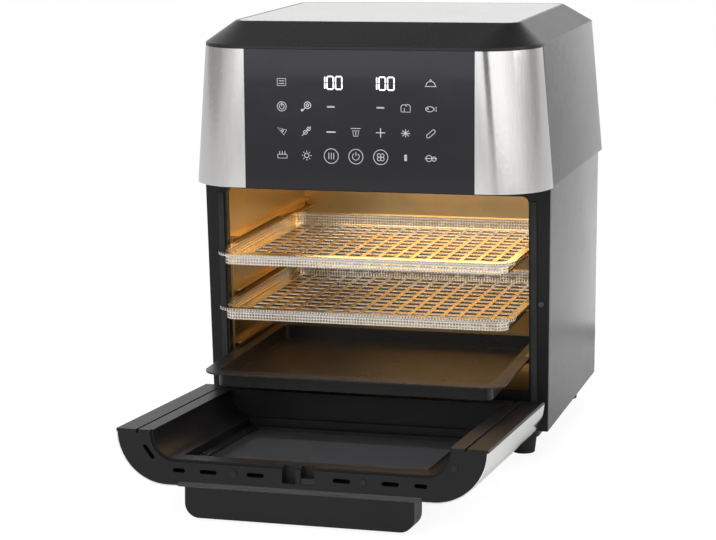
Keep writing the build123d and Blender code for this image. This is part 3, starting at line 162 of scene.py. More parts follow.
class Finish(Nodes):
    """One material, with a Principled surface whose patterns are read in Object coordinates."""

    def __init__(self, name, colour, roughness, metallic=0.0, **fixed):
        self.material = bpy.data.materials.new(name)
        self.material.use_nodes = True
        super().__init__(self.material.node_tree)
        self.colour = (*colour, 1.0)
        self.roughness = roughness
        surface = self.tree.nodes.new("ShaderNodeBsdfPrincipled")
        self.inputs = surface.inputs
        self.inputs["Base Color"].default_value = self.colour
        self.inputs["Roughness"].default_value = roughness
        self.inputs["Metallic"].default_value = metallic
        for name, value in fixed.items():
            self.inputs[name.replace("_", " ").title().replace("Ior", "IOR")].default_value = value
        result = self.tree.nodes.new("ShaderNodeOutputMaterial")
        self.tree.links.new(surface.outputs[0], result.inputs["Surface"])
        self.place = self.node("ShaderNodeTexCoord", output=3)

    def stretched(self, scale, turn=(0.0, 0.0, 0.0)):
        return self.node(
            "ShaderNodeMapping", {}, {"Vector": self.place, "Rotation": turn, "Scale": scale}
        )

    def noise(self, scale, detail=3.0, roughness=0.5, place=None, distortion=0.0):
        inputs = {
            "Vector": place or self.place,
            "Scale": scale,
            "Detail": detail,
            "Roughness": roughness,
            "Distortion": distortion,
        }
        return self.node("ShaderNodeTexNoise", {}, inputs)

    def cells(self, scale, feature="F1", place=None, output=0):
        inputs = {"Vector": place or self.place, "Scale": scale}
        return self.node("ShaderNodeTexVoronoi", {"feature": feature}, inputs, output)

    def blend(self, amount, first, second):
        """Mixes two colours."""
        pair = {0: amount, 6: (*first[:3], 1.0) if isinstance(first, tuple) else first}
        pair[7] = (*second[:3], 1.0) if isinstance(second, tuple) else second
        return self.node("ShaderNodeMix", {"data_type": "RGBA"}, pair, 2)

    def shade(self, amount, darker, lighter):
        """The finish's own colour, from darker times it to lighter times it."""
        base = self.colour[:3]
        low = tuple(min(channel * darker, 1.0) for channel in base)
        high = tuple(min(channel * lighter, 1.0) for channel in base)
        return self.blend(amount, low, high)

    def soft_edges(self, radius):
        """Normals that round the sharp edges over."""
        return self.node("ShaderNodeBevel", {"samples": 4}, {"Radius": radius})

    def edge_mask(self, rounded):
        """1 on the edges and 0 on the flats."""
        flat = self.node("ShaderNodeNewGeometry", output=1)
        likeness = self.node(
            "ShaderNodeVectorMath", {"operation": "DOT_PRODUCT"}, {0: rounded, 1: flat}, 1
        )
        return (1.0 - likeness).smooth_step(0.004, 0.12)

    def bump(self, height, depth, rounded=None, strength=1.0):
        inputs = {"Height": height, "Distance": depth, "Strength": strength}
        if rounded is not None:
            inputs["Normal"] = rounded
        self.feed(self.inputs["Normal"], self.node("ShaderNodeBump", {}, inputs))

    def paint(self, colour=None, roughness=None, alpha=None, coat=None):
        for name, value in (
            ("Base Color", colour), ("Roughness", roughness), ("Alpha", alpha), ("Coat Weight", coat)
        ):
            if value is not None:
                self.feed(self.inputs[name], value)


# Finishes of the outside

def satin_black_shell(name, colour):
    """Black satin paint with a faint orange peel and edges rubbed a little bright."""
    finish = Finish(name, colour, 0.30, specular_ior_level=0.5)
    rounded = finish.soft_edges(0.9 * MM)
    wear = finish.edge_mask(rounded) * finish.noise(180.0, 4.0, 0.7).smooth_step(0.35, 0.7)
    cloud = finish.noise(9.0, 3.0, 0.6)
    peel = finish.noise(900.0, 2.0, 0.5)
    speck = finish.cells(2600.0)
    tone = finish.shade(cloud, 0.75, 1.25)
    finish.paint(
        colour=finish.blend(wear * 0.35, tone, (0.09, 0.09, 0.093)),
        roughness=cloud * 0.10 + peel * 0.05 + 0.20 - wear * 0.06,
    )
    finish.bump(peel * 0.7 + speck * 0.3, 0.025 * MM, rounded)
    return finish.material


def grained_black_plastic(name, colour):
    """Moulded black plastic with a fine spark-eroded grain, its edges smoother and painted lighter as a
    painted sheen.
    """
    finish = Finish(name, colour, 0.42, specular_ior_level=0.26)
    rounded = finish.soft_edges(0.6 * MM)
    # Every edge is painted lighter as a painted sheen; the same mask also lowers the edges' roughness as
    # real polish
    polish_and_painted_sheen = finish.edge_mask(rounded)
    cloud = finish.noise(14.0, 3.0, 0.55)
    grain = finish.cells(1500.0, "SMOOTH_F1")
    fine = finish.noise(2400.0, 2.0, 0.6)
    tone = finish.shade(cloud, 0.7, 1.3)
    finish.paint(
        colour=finish.blend(polish_and_painted_sheen * 0.3, tone, (0.06, 0.06, 0.063)),
        roughness=grain * 0.12 + cloud * 0.10 + 0.30 - polish_and_painted_sheen * 0.10,
    )
    finish.bump(grain * 0.6 + fine * 0.4, 0.05 * MM, rounded)
    return finish.material


def upright_brushed_steel(name, colour):
    """Stainless sheet with its grain running up the front."""
    finish = Finish(name, colour, 0.24, metallic=1.0)
    rounded = finish.soft_edges(0.5 * MM)
    long_grain = finish.noise(1.0, 2.0, 0.6, finish.stretched((900.0, 900.0, 5.0)))
    fine_grain = finish.noise(1.0, 2.0, 0.6, finish.stretched((3600.0, 3600.0, 22.0)))
    cloud = finish.noise(16.0, 3.0, 0.6)
    streak = long_grain * 0.55 + fine_grain * 0.45
    finish.paint(
        colour=finish.shade(streak, 0.86, 1.12),
        roughness=streak * 0.10 + cloud * 0.03 + 0.06,
    )
    finish.bump(streak, 0.006 * MM, rounded)
    return finish.material


def cross_brushed_steel(name, colour):
    """Stainless sheet with its grain running from side to side."""
    finish = Finish(name, colour, 0.26, metallic=1.0)
    rounded = finish.soft_edges(0.5 * MM)
    long_grain = finish.noise(1.0, 2.0, 0.6, finish.stretched((5.0, 900.0, 900.0)))
    fine_grain = finish.noise(1.0, 2.0, 0.6, finish.stretched((22.0, 3600.0, 3600.0)))
    cloud = finish.noise(12.0, 3.0, 0.6)
    streak = long_grain * 0.55 + fine_grain * 0.45
    finish.paint(
        colour=finish.shade(streak, 0.85, 1.12),
        roughness=streak * 0.16 + cloud * 0.06 + 0.14,
    )
    finish.bump(streak, 0.02 * MM, rounded)
    return finish.material


def printed_black_glass(name, colour):
    """Gloss black glass, printed from behind, with faint wipe marks and a painted reflection that makes it
    paler toward the top.
    """
    finish = Finish(name, colour, 0.06, ior=1.5)
    rounded = finish.soft_edges(0.5 * MM)
    wipes = finish.noise(1.0, 4.0, 0.65, finish.stretched((9.0, 9.0, 26.0), (0.0, 0.5, 0.0)), 0.6)
    dust = finish.cells(900.0).smooth_step(0.10, 0.02)
    height = finish.split(finish.place)[2]
    # Painted reflection: the glass colour is painted paler toward the top of the panel
    painted_reflection = height.smooth_step(*PANEL_PAINTED_REFLECTION_Z)
    tone = finish.shade(painted_reflection, 0.75, 1.5)
    finish.paint(
        colour=finish.blend(dust * 0.10, tone, (0.12, 0.12, 0.13)),
        roughness=wipes.smooth_step(0.4, 0.8) * 0.10 + 0.04,
    )
    finish.bump(wipes, 0.01 * MM, rounded, 0.4)
    return finish.material


def tinted_door_glass(name, colour):
    """Dark see-through glass with faint smears."""
    finish = Finish(name, colour, 0.03, ior=1.5, transmission_weight=0.90)
    smear = finish.noise(1.0, 4.0, 0.6, finish.stretched((14.0, 30.0, 14.0)), 0.8)
    spots = finish.cells(160.0).smooth_step(0.12, 0.04)
    finish.paint(
        colour=finish.shade(smear, 0.85, 1.15),
        roughness=smear.smooth_step(0.45, 0.8) * 0.08 + spots * 0.05 + 0.02,
    )
    finish.bump(smear, 0.02 * MM, strength=0.3)
    return finish.material


def clear_lamp_glass(name, colour):
    """Clear glass moulded with fine ribs that spread the light."""
    finish = Finish(name, colour, 0.08, ior=1.5, transmission_weight=0.9)
    across = finish.split(finish.place)[0]
    ribs = abs(across.wrapped(2.0 * MM) - 1.0 * MM) * 1000.0
    haze = finish.noise(220.0, 3.0, 0.6)
    finish.paint(colour=finish.shade(haze, 0.92, 1.05), roughness=haze * 0.10 + 0.05)
    finish.bump(ribs, 0.12 * MM)
    return finish.material


def matt_rubber(name, colour):
    """Matt rubber with a dusty bloom."""
    finish = Finish(name, colour, 0.8, specular_ior_level=0.3)
    bloom = finish.noise(60.0, 4.0, 0.65)
    grain = finish.noise(1900.0, 2.0, 0.6)
    finish.paint(colour=finish.shade(bloom, 0.7, 1.9), roughness=bloom * 0.15 + grain * 0.1 + 0.6)
    finish.bump(grain, 0.06 * MM)
    return finish.material


# Finishes of the cavity and the trays

def dull_liner_steel(name, colour):
    """Rolled stainless sheet, dulled and straw-tinted by heat."""
    finish = Finish(name, colour, 0.34, metallic=1.0)
    rounded = finish.soft_edges(0.6 * MM)
    rolled = finish.noise(1.0, 2.0, 0.6, finish.stretched((1200.0, 14.0, 1200.0)))
    heat = finish.noise(22.0, 5.0, 0.65, distortion=0.8)
    spots = finish.noise(260.0, 3.0, 0.7).smooth_step(0.62, 0.75)
    straw = finish.blend(heat.smooth_step(0.35, 0.75) * 0.55, finish.colour, (0.62, 0.44, 0.20))
    finish.paint(
        colour=finish.blend(spots * 0.35, straw, (0.20, 0.13, 0.07)),
        roughness=rolled * 0.14 + heat * 0.14 + spots * 0.10 + 0.18,
    )
    finish.bump(rolled * 0.6 + spots * 0.4, 0.03 * MM, rounded)
    return finish.material


def mesh_tray_steel(name, colour):
    """Bright wire-mesh look: the tray's low walls are pierced, its rim and floor are solid metal."""
    finish = Finish(name, colour, 0.22, metallic=1.0)
    rounded = finish.soft_edges(0.5 * MM)
    across, along, height = finish.split(finish.place)
    facing = finish.split(finish.node("ShaderNodeNewGeometry", output=1))
    to_side = abs(facing[0]).above(0.7)
    run = along * to_side + across * (1.0 - to_side)
    gap_run = abs(run.wrapped(MESH_PITCH) - MESH_PITCH / 2.0)
    gap_rise = abs(height.wrapped(MESH_PITCH) - MESH_PITCH / 2.0)
    inside_run = (gap_run * -1.0 + MESH_HOLE_HALF).above(0.0)
    inside_rise = (gap_rise * -1.0 + MESH_HOLE_HALF).above(0.0)
    upright = (abs(facing[2]) * -1.0 + 0.6).above(0.0)
    pierced = inside_run * inside_rise * upright
    wear = finish.noise(120.0, 4.0, 0.7)
    grease = finish.noise(30.0, 4.0, 0.7, distortion=0.5).smooth_step(0.5, 0.75)
    tone = finish.shade(wear, 0.72, 1.2)
    finish.paint(
        colour=finish.blend(grease * 0.25, tone, (0.42, 0.27, 0.11)),
        roughness=wear * 0.18 + grease * 0.12 + 0.12,
        alpha=1.0 - pierced,
    )
    finish.bump(wear, 0.05 * MM, rounded)
    return finish.material


def nonstick_pan(name, colour):
    """Dark non-stick coating with a fine mineral fleck and a rim rubbed bare in places."""
    finish = Finish(name, colour, 0.36, specular_ior_level=0.5)
    rounded = finish.soft_edges(0.7 * MM)
    rub = finish.edge_mask(rounded) * finish.noise(240.0, 4.0, 0.7).smooth_step(0.5, 0.68)
    fleck = finish.cells(1300.0).smooth_step(0.22, 0.10)
    cloud = finish.noise(18.0, 4.0, 0.6)
    fine = finish.noise(1500.0, 2.0, 0.5)
    tone = finish.blend(fleck * 0.25, finish.shade(cloud, 0.7, 1.4), (0.16, 0.155, 0.15))
    finish.paint(
        colour=finish.blend(rub * 0.6, tone, (0.42, 0.38, 0.32)),
        roughness=cloud * 0.16 + fleck * 0.08 + 0.22,
    )
    finish.bump(fine * 0.7 + fleck * 0.3, 0.04 * MM, rounded)
    return finish.material


# Finishes of the parts inside

def spangled_zinc(name, colour):
    """Galvanised sheet with its crystal pattern."""
    finish = Finish(name, colour, 0.42, metallic=0.9)
    crystals = finish.node("ShaderNodeSeparateColor", {}, {0: finish.cells(130.0, output=1)})
    scratches = finish.noise(1.0, 3.0, 0.6, finish.stretched((60.0, 700.0, 700.0), (0.0, 0.3, 0.4)))
    finish.paint(
        colour=finish.shade(crystals, 0.7, 1.25),
        roughness=crystals * 0.20 + scratches * 0.12 + 0.24,
    )
    finish.bump(crystals * 0.5 + scratches * 0.5, 0.02 * MM, finish.soft_edges(0.4 * MM))
    return finish.material


def turned_metal(name, colour, roughness):
    """Bright metal with fine turning marks."""
    finish = Finish(name, colour, roughness, metallic=1.0)
    marks = finish.noise(1.0, 2.0, 0.6, finish.stretched((300.0, 300.0, 4200.0)))
    smudge = finish.noise(70.0, 4.0, 0.6)
    finish.paint(
        colour=finish.shade(marks * 0.5 + smudge * 0.5, 0.75, 1.2),
        roughness=smudge * 0.18 + marks * 0.08 + max(roughness - 0.12, 0.02),
    )
    finish.bump(marks, 0.015 * MM, finish.soft_edges(0.3 * MM))
    return finish.material


def blackened_steel(name, colour):
    """Steel with a black oxide skin, worn grey in specks."""
    finish = Finish(name, colour, 0.4, metallic=0.3)
    specks = finish.noise(700.0, 3.0, 0.7).smooth_step(0.58, 0.72)
    cloud = finish.noise(120.0, 3.0, 0.6)
    finish.paint(
        colour=finish.blend(specks * 0.35, finish.shade(cloud, 0.7, 1.4), (0.06, 0.06, 0.06)),
        roughness=cloud * 0.2 + specks * 0.1 + 0.28,
    )
    finish.bump(cloud, 0.02 * MM, finish.soft_edges(0.3 * MM))
    return finish.material


def heat_darkened_tube(name, colour):
    """Heater sheath, blued and browned by heat."""
    finish = Finish(name, colour, 0.5, metallic=0.8)
    bands = finish.noise(34.0, 4.0, 0.7, distortion=1.2)
    scale = finish.noise(700.0, 3.0, 0.6)
    brown = finish.blend(bands.smooth_step(0.35, 0.6), finish.colour, (0.13, 0.07, 0.04))
    finish.paint(
        colour=finish.blend(bands.smooth_step(0.6, 0.85), brown, (0.05, 0.07, 0.12)),
        roughness=scale * 0.25 + bands * 0.15 + 0.3,
    )
    finish.bump(scale, 0.05 * MM)
    return finish.material


def unglazed_ceramic(name, colour):
    """Chalky white ceramic with pores and soot."""
    finish = Finish(name, colour, 0.75)
    pores = finish.cells(900.0).smooth_step(0.16, 0.05)
    soot = finish.noise(90.0, 4.0, 0.7).smooth_step(0.5, 0.8)
    finish.paint(
        colour=finish.blend(soot * 0.4, finish.shade(pores, 1.0, 0.7), (0.30, 0.26, 0.20)),
        roughness=pores * 0.15 + soot * 0.1 + 0.65,
    )
    finish.bump(pores, -0.06 * MM)
    return finish.material


def laminated_iron(name, colour):
    """Stacked steel sheets, seen as fine level lines."""
    finish = Finish(name, colour, 0.45, metallic=0.85)
    height = finish.split(finish.place)[2]
    seam = abs(height.wrapped(0.5 * MM) - 0.25 * MM) * 4000.0
    oil = finish.noise(90.0, 4.0, 0.6)
    finish.paint(
        colour=finish.shade(seam * 0.6 + oil * 0.4, 0.6, 1.3),
        roughness=oil * 0.25 + seam * 0.1 + 0.2,
    )
    finish.bump(seam, 0.05 * MM)
    return finish.material


def green_board(name, colour):
    """Circuit board with copper runs under green lacquer."""
    finish = Finish(name, colour, 0.3, coat_roughness=0.1)
    runs = finish.cells(190.0, "DISTANCE_TO_EDGE", finish.stretched((1.0, 1.0, 1.6)))
    copper = runs.smooth_step(0.10, 0.06)
    weave = finish.noise(1600.0, 2.0, 0.5)
    finish.paint(
        colour=finish.blend(copper * 0.7, finish.shade(weave, 0.8, 1.2), (0.05, 0.28, 0.12)),
        roughness=weave * 0.1 + 0.22,
        coat=copper * 0.3 + 0.5,
    )
    finish.bump(copper, 0.035 * MM)
    return finish.material


def plain_moulding(name, colour):
    """Small moulded parts with a soft sheen and mould lines."""
    finish = Finish(name, colour, 0.45)
    flow = finish.noise(50.0, 4.0, 0.6, distortion=0.5)
    grain = finish.noise(1800.0, 2.0, 0.6)
    finish.paint(colour=finish.shade(flow, 0.7, 1.5), roughness=flow * 0.2 + grain * 0.1 + 0.3)
    finish.bump(grain, 0.04 * MM, finish.soft_edges(0.4 * MM))
    return finish.material


def dark_display_cell(name, colour):
    """Display cell behind the glass, with its faint unlit bars."""
    finish = Finish(name, colour, 0.15, ior=1.5)
    across = finish.split(finish.place)[0]
    bars = abs(across.wrapped(4.5 * MM) - 2.25 * MM).smooth_step(0.0, 1.6 * MM)
    haze = finish.noise(80.0, 3.0, 0.6)
    finish.paint(colour=finish.shade(bars, 0.8, 1.8), roughness=haze * 0.1 + 0.08)
    finish.bump(bars, 0.02 * MM)
    return finish.material


def cast_aluminium(name, colour):
    """Pressed aluminium with a satin drag."""
    finish = Finish(name, colour, 0.35, metallic=1.0)
    drag = finish.noise(1.0, 3.0, 0.6, finish.stretched((900.0, 60.0, 900.0)))
    soil = finish.noise(45.0, 5.0, 0.7).smooth_step(0.5, 0.8)
    finish.paint(
        colour=finish.blend(soil * 0.35, finish.shade(drag, 0.8, 1.15), (0.30, 0.22, 0.12)),
        roughness=drag * 0.15 + soil * 0.15 + 0.25,
    )
    finish.bump(drag, 0.02 * MM, finish.soft_edges(0.4 * MM))
    return finish.material


def glowing_bulb(name, colour):
    """Lamp envelope, lit from inside, with a hotter core."""
    finish = Finish(name, colour, 0.2, emission_strength=6.0)
    height = finish.split(finish.place)[2]
    core = abs(height - BULB_MIDDLE_Z).smooth_step(BULB_HALF, 0.0)
    haze = finish.noise(300.0, 2.0, 0.5)
    finish.feed(
        finish.inputs["Emission Color"], finish.blend(core, (0.9, 0.35, 0.08), (1.0, 0.80, 0.50))
    )
    finish.paint(colour=finish.shade(haze, 0.8, 1.1), roughness=haze * 0.1 + 0.15)
    return finish.material


def lit_marking(name, colour, strength):
    """Lit markings seen through the glass, a little uneven as the light behind them is."""
    finish = Finish(name, colour, 0.4, emission_strength=strength)
    uneven = finish.noise(260.0, 2.0, 0.5)
    finish.feed(finish.inputs["Emission Color"], finish.shade(uneven, 0.82, 1.0))
    finish.paint(colour=finish.shade(uneven, 0.85, 1.0), roughness=uneven * 0.2 + 0.3)
    return finish.material


# Modelling helpers

def deselect_all():
    if bpy.context.object and bpy.context.object.mode != "OBJECT":
        bpy.ops.object.mode_set(mode="OBJECT")
    bpy.ops.object.select_all(action="DESELECT")


def keep(piece, name, body, material):
    """Names a finished piece, gives it its material and lets it ride on its body."""
    piece.name = name
    piece.data.name = name
    piece.data.materials.clear()
    piece.data.materials.append(material)
    bpy.ops.object.select_all(action="DESELECT")
    piece.select_set(True)
    bpy.context.view_layer.objects.active = piece
    bpy.ops.object.transform_apply(location=True, rotation=True, scale=True)
    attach(piece, body)
    bpy.ops.object.select_all(action="DESELECT")
    return piece


def joined(pieces):
    bpy.ops.object.select_all(action="DESELECT")
    for piece in pieces:
        piece.select_set(True)
    bpy.context.view_layer.objects.active = pieces[0]
    bpy.ops.object.join()
    return bpy.context.object


# Settings

def slot_colour(slot):
    """The colour that the record gives a material slot."""
    for material in frame["record"]["materials"]:
        if material["slot"] == slot:
            return tuple(material["base_color"][:3])
    raise ValueError(f"no slot {slot}")


def colour_setting(name, description, default):
    return FloatVectorProperty(
        name=name, description=description, default=default, subtype="COLOR", size=3, min=0.0, max=1.0
    )


def power_setting(name, description, default):
    return FloatProperty(name=name, description=description, default=default)


class OvenFinishSettings(PropertyGroup):
    shell: colour_setting("Shell", "Satin paint of the head and side panels", (0.014, 0.0135, 0.0145))
    plastic: colour_setting("Plastic", "Moulded plastic of the door and frame", (0.012, 0.011, 0.0125))
    front_steel: colour_setting("Front steel", "Steel wraps beside the glass", (0.90, 0.885, 0.87))
    top_steel: colour_setting("Top steel", "Plate let into the top", (0.84, 0.84, 0.83))
    glass: colour_setting("Panel glass", "Glass of the control panel", (0.018, 0.0168, 0.023))
    door_glass: colour_setting("Door glass", "Tint of the door's window", (0.36, 0.36, 0.375))
    liner: colour_setting("Liner", "Steel of the cavity", (0.50, 0.385, 0.21))
    tray: colour_setting("Mesh trays", "Bright steel of the two upper trays", (0.80, 0.77, 0.71))
    pan: colour_setting("Drip tray", "Non-stick coating of the lowest tray", (0.022, 0.020, 0.019))


class OvenMarkingSettings(PropertyGroup):
    digit_height: FloatProperty(
        name="Digit height", description="Height of the display digits", default=10.8 * MM, unit="LENGTH"
    )
    digit_width: FloatProperty(
        name="Digit width", description="Width of one digit", default=5.6 * MM, unit="LENGTH"
    )
    digit_pitch: FloatProperty(
        name="Digit pitch", description="From one digit to the next", default=7.6 * MM, unit="LENGTH"
    )
    digit_stroke: FloatProperty(
        name="Digit stroke", description="Width of a digit's bars", default=1.2 * MM, unit="LENGTH"
    )
    icon_pitch_x: FloatProperty(
        name="Icon pitch across", description="From one icon to the next", default=22.0 * MM,
        unit="LENGTH",
    )
    icon_aside: FloatProperty(
        name="Icons aside", description="How far the icons stand off the panel's middle",
        default=-2.0 * MM, unit="LENGTH",
    )
    icon_pitch_z: FloatProperty(
        name="Icon pitch up", description="From one row of icons to the next", default=20.9 * MM,
        unit="LENGTH",
    )
    icon_low_z: FloatProperty(
        name="Lowest icons", description="Height of the lowest row", default=272.5 * MM, unit="LENGTH"
    )
    icon_stroke: FloatProperty(
        name="Icon stroke", description="Half width of an icon's lines", default=0.34 * MM, unit="LENGTH"
    )
    digit_colour: colour_setting("Digits", "Light of the digits", (1.0, 1.0, 1.0))
    icon_colour: colour_setting("Icons", "Light of the icons", (0.62, 0.62, 0.64))


class OvenStageSettings(PropertyGroup):
    camera_place: FloatVectorProperty(
        name="Camera", description="Where the camera stands", default=(0.5380, -1.8988, 0.5503),
        subtype="TRANSLATION", unit="LENGTH", precision=5,
    )
    camera_turn: FloatVectorProperty(
        name="Camera turn", description="Turn, tilt and roll of the camera",
        default=(math.radians(16.34), math.radians(11.10), math.radians(-0.95)), subtype="EULER",
    )
    lens: FloatProperty(name="Lens", description="Focal length on a 36 mm sensor, in mm", default=113.99)
    floor_colour: colour_setting("Floor", "Pale floor", (0.90, 0.90, 0.90))
    key_power: power_setting("Key light", "Power of the large front light, in W", 16.0)
    fill_power: power_setting("Fill light", "Power of the side light, in W", 9.0)
    top_power: power_setting("Top light", "Power of the light overhead, in W", 12.0)
    card_power: power_setting("Rear card", "Power of the lit card behind, in W", 0.7)
    cavity_power: power_setting("Cavity lamp", "Power of the lamp inside, in W", 0.52)


# Control panel markings

GLASS_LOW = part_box("control_glass")[0]
GLASS_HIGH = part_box("control_glass")[1]
GLASS_THICKNESS = 3.0 * MM
GLASS_SLOPE = (GLASS_HIGH.y - GLASS_THICKNESS - GLASS_LOW.y) / (GLASS_HIGH.z - GLASS_LOW.z)
MARK_PROUD = 0.12 * MM


def on_glass(across, height, proud=0.0):
    """A point on the sloping face of the panel glass."""
    return Vector((across, GLASS_LOW.y + GLASS_SLOPE * (height - GLASS_LOW.z) - proud, height))


def digit_bar(length, stroke):
    """One bar of a digit, lying along X with pointed ends."""
    bpy.ops.mesh.primitive_cube_add(size=1.0, scale=(length, MARK_PROUD * 2, stroke))
    bar = bpy.context.object
    bpy.ops.object.transform_apply(location=False, rotation=False, scale=True)
    bpy.ops.object.mode_set(mode="EDIT")
    bpy.ops.mesh.select_mode(type="EDGE")
    bpy.ops.mesh.select_all(action="DESELECT")
    shape = bmesh.from_edit_mesh(bar.data)
    for edge in shape.edges:
        ends = [vert.co for vert in edge.verts]
        if abs(ends[0].x - ends[1].x) < 1e-9 and abs(ends[0].z - ends[1].z) < 1e-9:
            edge.select = True
    bmesh.update_edit_mesh(bar.data)
    bpy.ops.mesh.bevel(offset=stroke * 0.42, segments=2)
    bpy.ops.object.mode_set(mode="OBJECT")
    return bar


def placed_copy(pattern, place, turn=0.0):
    """A copy with its own mesh, turned in the panel's plane and set down."""
    piece = pattern.copy()
    piece.data = pattern.data.copy()
    bpy.context.collection.objects.link(piece)
    piece.data.transform(Matrix.Translation(place) @ Matrix.Rotation(turn, 4, "Y"))
    return piece


def digit(kind, left, low, settings):
    """The bars of a 0 or a 1, from its lower left corner."""
    stroke = settings.digit_stroke
    width = settings.digit_width
    half = settings.digit_height / 2
    upright = digit_bar(half - stroke * 0.35, stroke)
    level = digit_bar(width - stroke * 0.5, stroke)
    bars = []
    for side in (left, left + width) if kind == 0 else (left + width,):
        for middle in (low + half / 2, low + half * 1.5):
            bars.append(placed_copy(upright, on_glass(side, middle), math.pi / 2))
    if kind == 0:
        for height in (low, low + settings.digit_height):
            bars.append(placed_copy(level, on_glass(left + width / 2, height)))
    for pattern in (upright, level):
        bpy.data.objects.remove(pattern)
    return bars


class OVEN_OT_display(Operator):
    """Model the two lit numbers of the display"""

    bl_idname = "oven.display"
    bl_label = "Display numbers"

    def execute(self, context):
        deselect_all()
        settings = context.scene.oven_markings
        material = lit_marking("digit_light", tuple(settings.digit_colour), 1.0)
        low = settings.icon_low_z + 3 * settings.icon_pitch_z - settings.digit_height / 2
        middles = {"time": -settings.icon_pitch_x, "heat": settings.icon_pitch_x + 2.0 * MM}
        for name, middle in middles.items():
            left = middle + settings.icon_aside - settings.digit_pitch * 1.5 + 0.6 * MM
            bars = []
            for count, kind in enumerate((1, 0, 0)):
                bars += digit(kind, left + count * settings.digit_pitch, low, settings)
            keep(joined(bars), f"{name}_digits", "housing", material)
        return {"FINISHED"}


class IconPen:
    """Draws the strokes of one pictogram in the panel's plane, in millimetres from its middle."""

    def __init__(self, column, row, settings):
        self.across = (column - 3) * settings.icon_pitch_x + settings.icon_aside
        self.height = settings.icon_low_z + row * settings.icon_pitch_z
        self.curve = bpy.data.curves.new("icon", "CURVE")
        self.curve.dimensions = "3D"
        self.curve.bevel_depth = settings.icon_stroke
        self.curve.bevel_resolution = 1
        self.curve.use_fill_caps = True

    def stroke(self, points, closed=False):
        spline = self.curve.splines.new("POLY")
        spline.points.add(len(points) - 1)
        for point, (x, z) in zip(spline.points, points):
            point.co = (*on_glass(self.across + x * MM, self.height + z * MM), 1.0)
        spline.use_cyclic_u = closed

    def arc(self, x, z, radius, start=0.0, end=360.0, squash=1.0, steps=20):
        turns = [math.radians(start + (end - start) * count / steps) for count in range(steps + 1)]
        closed = end - start >= 360.0
        points = [(x + radius * math.cos(turn), z + radius * squash * math.sin(turn)) for turn in turns]
        self.stroke(points[:-1] if closed else points, closed)

    def piece(self):
        made = bpy.data.objects.new("icon", self.curve)
        bpy.context.collection.objects.link(made)
        deselect_all()
        made.select_set(True)
        bpy.context.view_layer.objects.active = made
        bpy.ops.object.convert(target="MESH")
        return bpy.context.object


def toaster_icon(pen):
    pen.stroke([(-3.8, -3.0), (3.8, -3.0), (3.8, 3.0), (-3.8, 3.0)], True)
    pen.stroke([(-2.4, -1.2), (2.4, -1.2)])
    pen.stroke([(-2.4, 1.0), (2.4, 1.0)])


def covered_dish_icon(pen):
    pen.arc(0, -1.4, 4.0, 0, 180)
    pen.stroke([(-5.0, -1.8), (5.0, -1.8)])
    pen.arc(0, 3.2, 0.7)


def tart_icon(pen):
    pen.arc(0, 0, 4.0)
    pen.arc(0, 0, 2.2)
    pen.stroke([(0, 0), (0, 4.0)])


def drumstick_icon(pen):
    pen.arc(1.2, 1.4, 2.9)
    pen.stroke([(-0.9, -0.7), (-3.4, -3.4)])
    pen.arc(-3.7, -2.9, 0.8)
    pen.arc(1.2, 1.4, 1.2)


def dash_icon(pen):
    pen.stroke([(-3.4, 0), (3.4, 0)])
    pen.stroke([(-3.4, 0.8), (3.4, 0.8)])


def loaf_icon(pen):
    pen.arc(-1.4, 0.8, 2.6, 20, 200)
    pen.arc(1.8, 1.2, 2.4, -20, 140)
    pen.stroke([(-3.9, 0.0), (-3.9, -2.8), (4.2, -2.8), (4.2, 0.6)])
    pen.stroke([(-1.0, -2.8), (-1.0, 0.4)])


def fish_icon(pen):
    pen.arc(-0.8, 0, 3.6, 0, 360, 0.6)
    pen.stroke([(2.6, 0), (5.0, 1.9), (5.0, -1.9)], True)
    pen.arc(-2.6, 0.4, 0.5)


def wedge_icon(pen):
    pen.stroke([(-4.0, 2.6), (4.0, 0.6), (1.6, -3.6)], True)
    pen.arc(0.4, 0.0, 0.8)


def skewer_icon(pen):
    pen.stroke([(-4.0, -4.0), (4.0, 4.0)])
    pen.arc(-1.0, -1.0, 1.7)
    pen.arc(2.0, 2.0, 1.5)


def minus_icon(pen):
    pen.stroke([(-4.0, 0), (4.0, 0)])
    pen.stroke([(-4.0, -0.6), (4.0, -0.6)])


def tray_lift_icon(pen):
    pen.stroke([(-4.4, 3.2), (4.4, 3.2)])
    pen.stroke([(-2.8, 1.2), (2.8, 1.2), (1.8, -3.4), (-1.8, -3.4)], True)
    pen.stroke([(0, -2.6), (0, 0.6)])


def plus_icon(pen):
    pen.stroke([(-4.0, 0), (4.0, 0)])
    pen.stroke([(0, -4.0), (0, 4.0)])


def snowflake_icon(pen):
    for turn in range(0, 180, 45):
        across = 4.0 * math.cos(math.radians(turn))
        rise = 3.4 * math.sin(math.radians(turn))
        pen.stroke([(-across, -rise), (across, rise)])


def sausage_icon(pen):
    pen.arc(-2.2, -2.0, 1.5, 135, 315)
    pen.arc(2.4, 2.0, 1.5, -45, 135)
    pen.stroke([(-3.2, -0.9), (1.3, 3.0)])
    pen.stroke([(-1.1, -3.0), (3.5, 0.9)])


def cake_icon(pen):
    pen.stroke([(-4.2, -2.8), (4.2, -2.8), (4.2, 0.4), (-4.2, 0.4)], True)
    for place in (-2.4, 0, 2.4):
        pen.stroke([(place, 0.4), (place, 3.2)])


def sun_icon(pen):
    pen.arc(0, 0, 2.0)
    for turn in range(0, 360, 45):
        out = math.radians(turn)
        pen.stroke([(3.2 * math.cos(out), 3.2 * math.sin(out)), (4.3 * math.cos(out), 4.3 * math.sin(out))])


def ringed_bars_icon(pen):
    pen.arc(0, 0, 6.3, steps=32)
    for place in (-2.2, 0, 2.2):
        pen.stroke([(place, -2.8), (place, 2.8)])


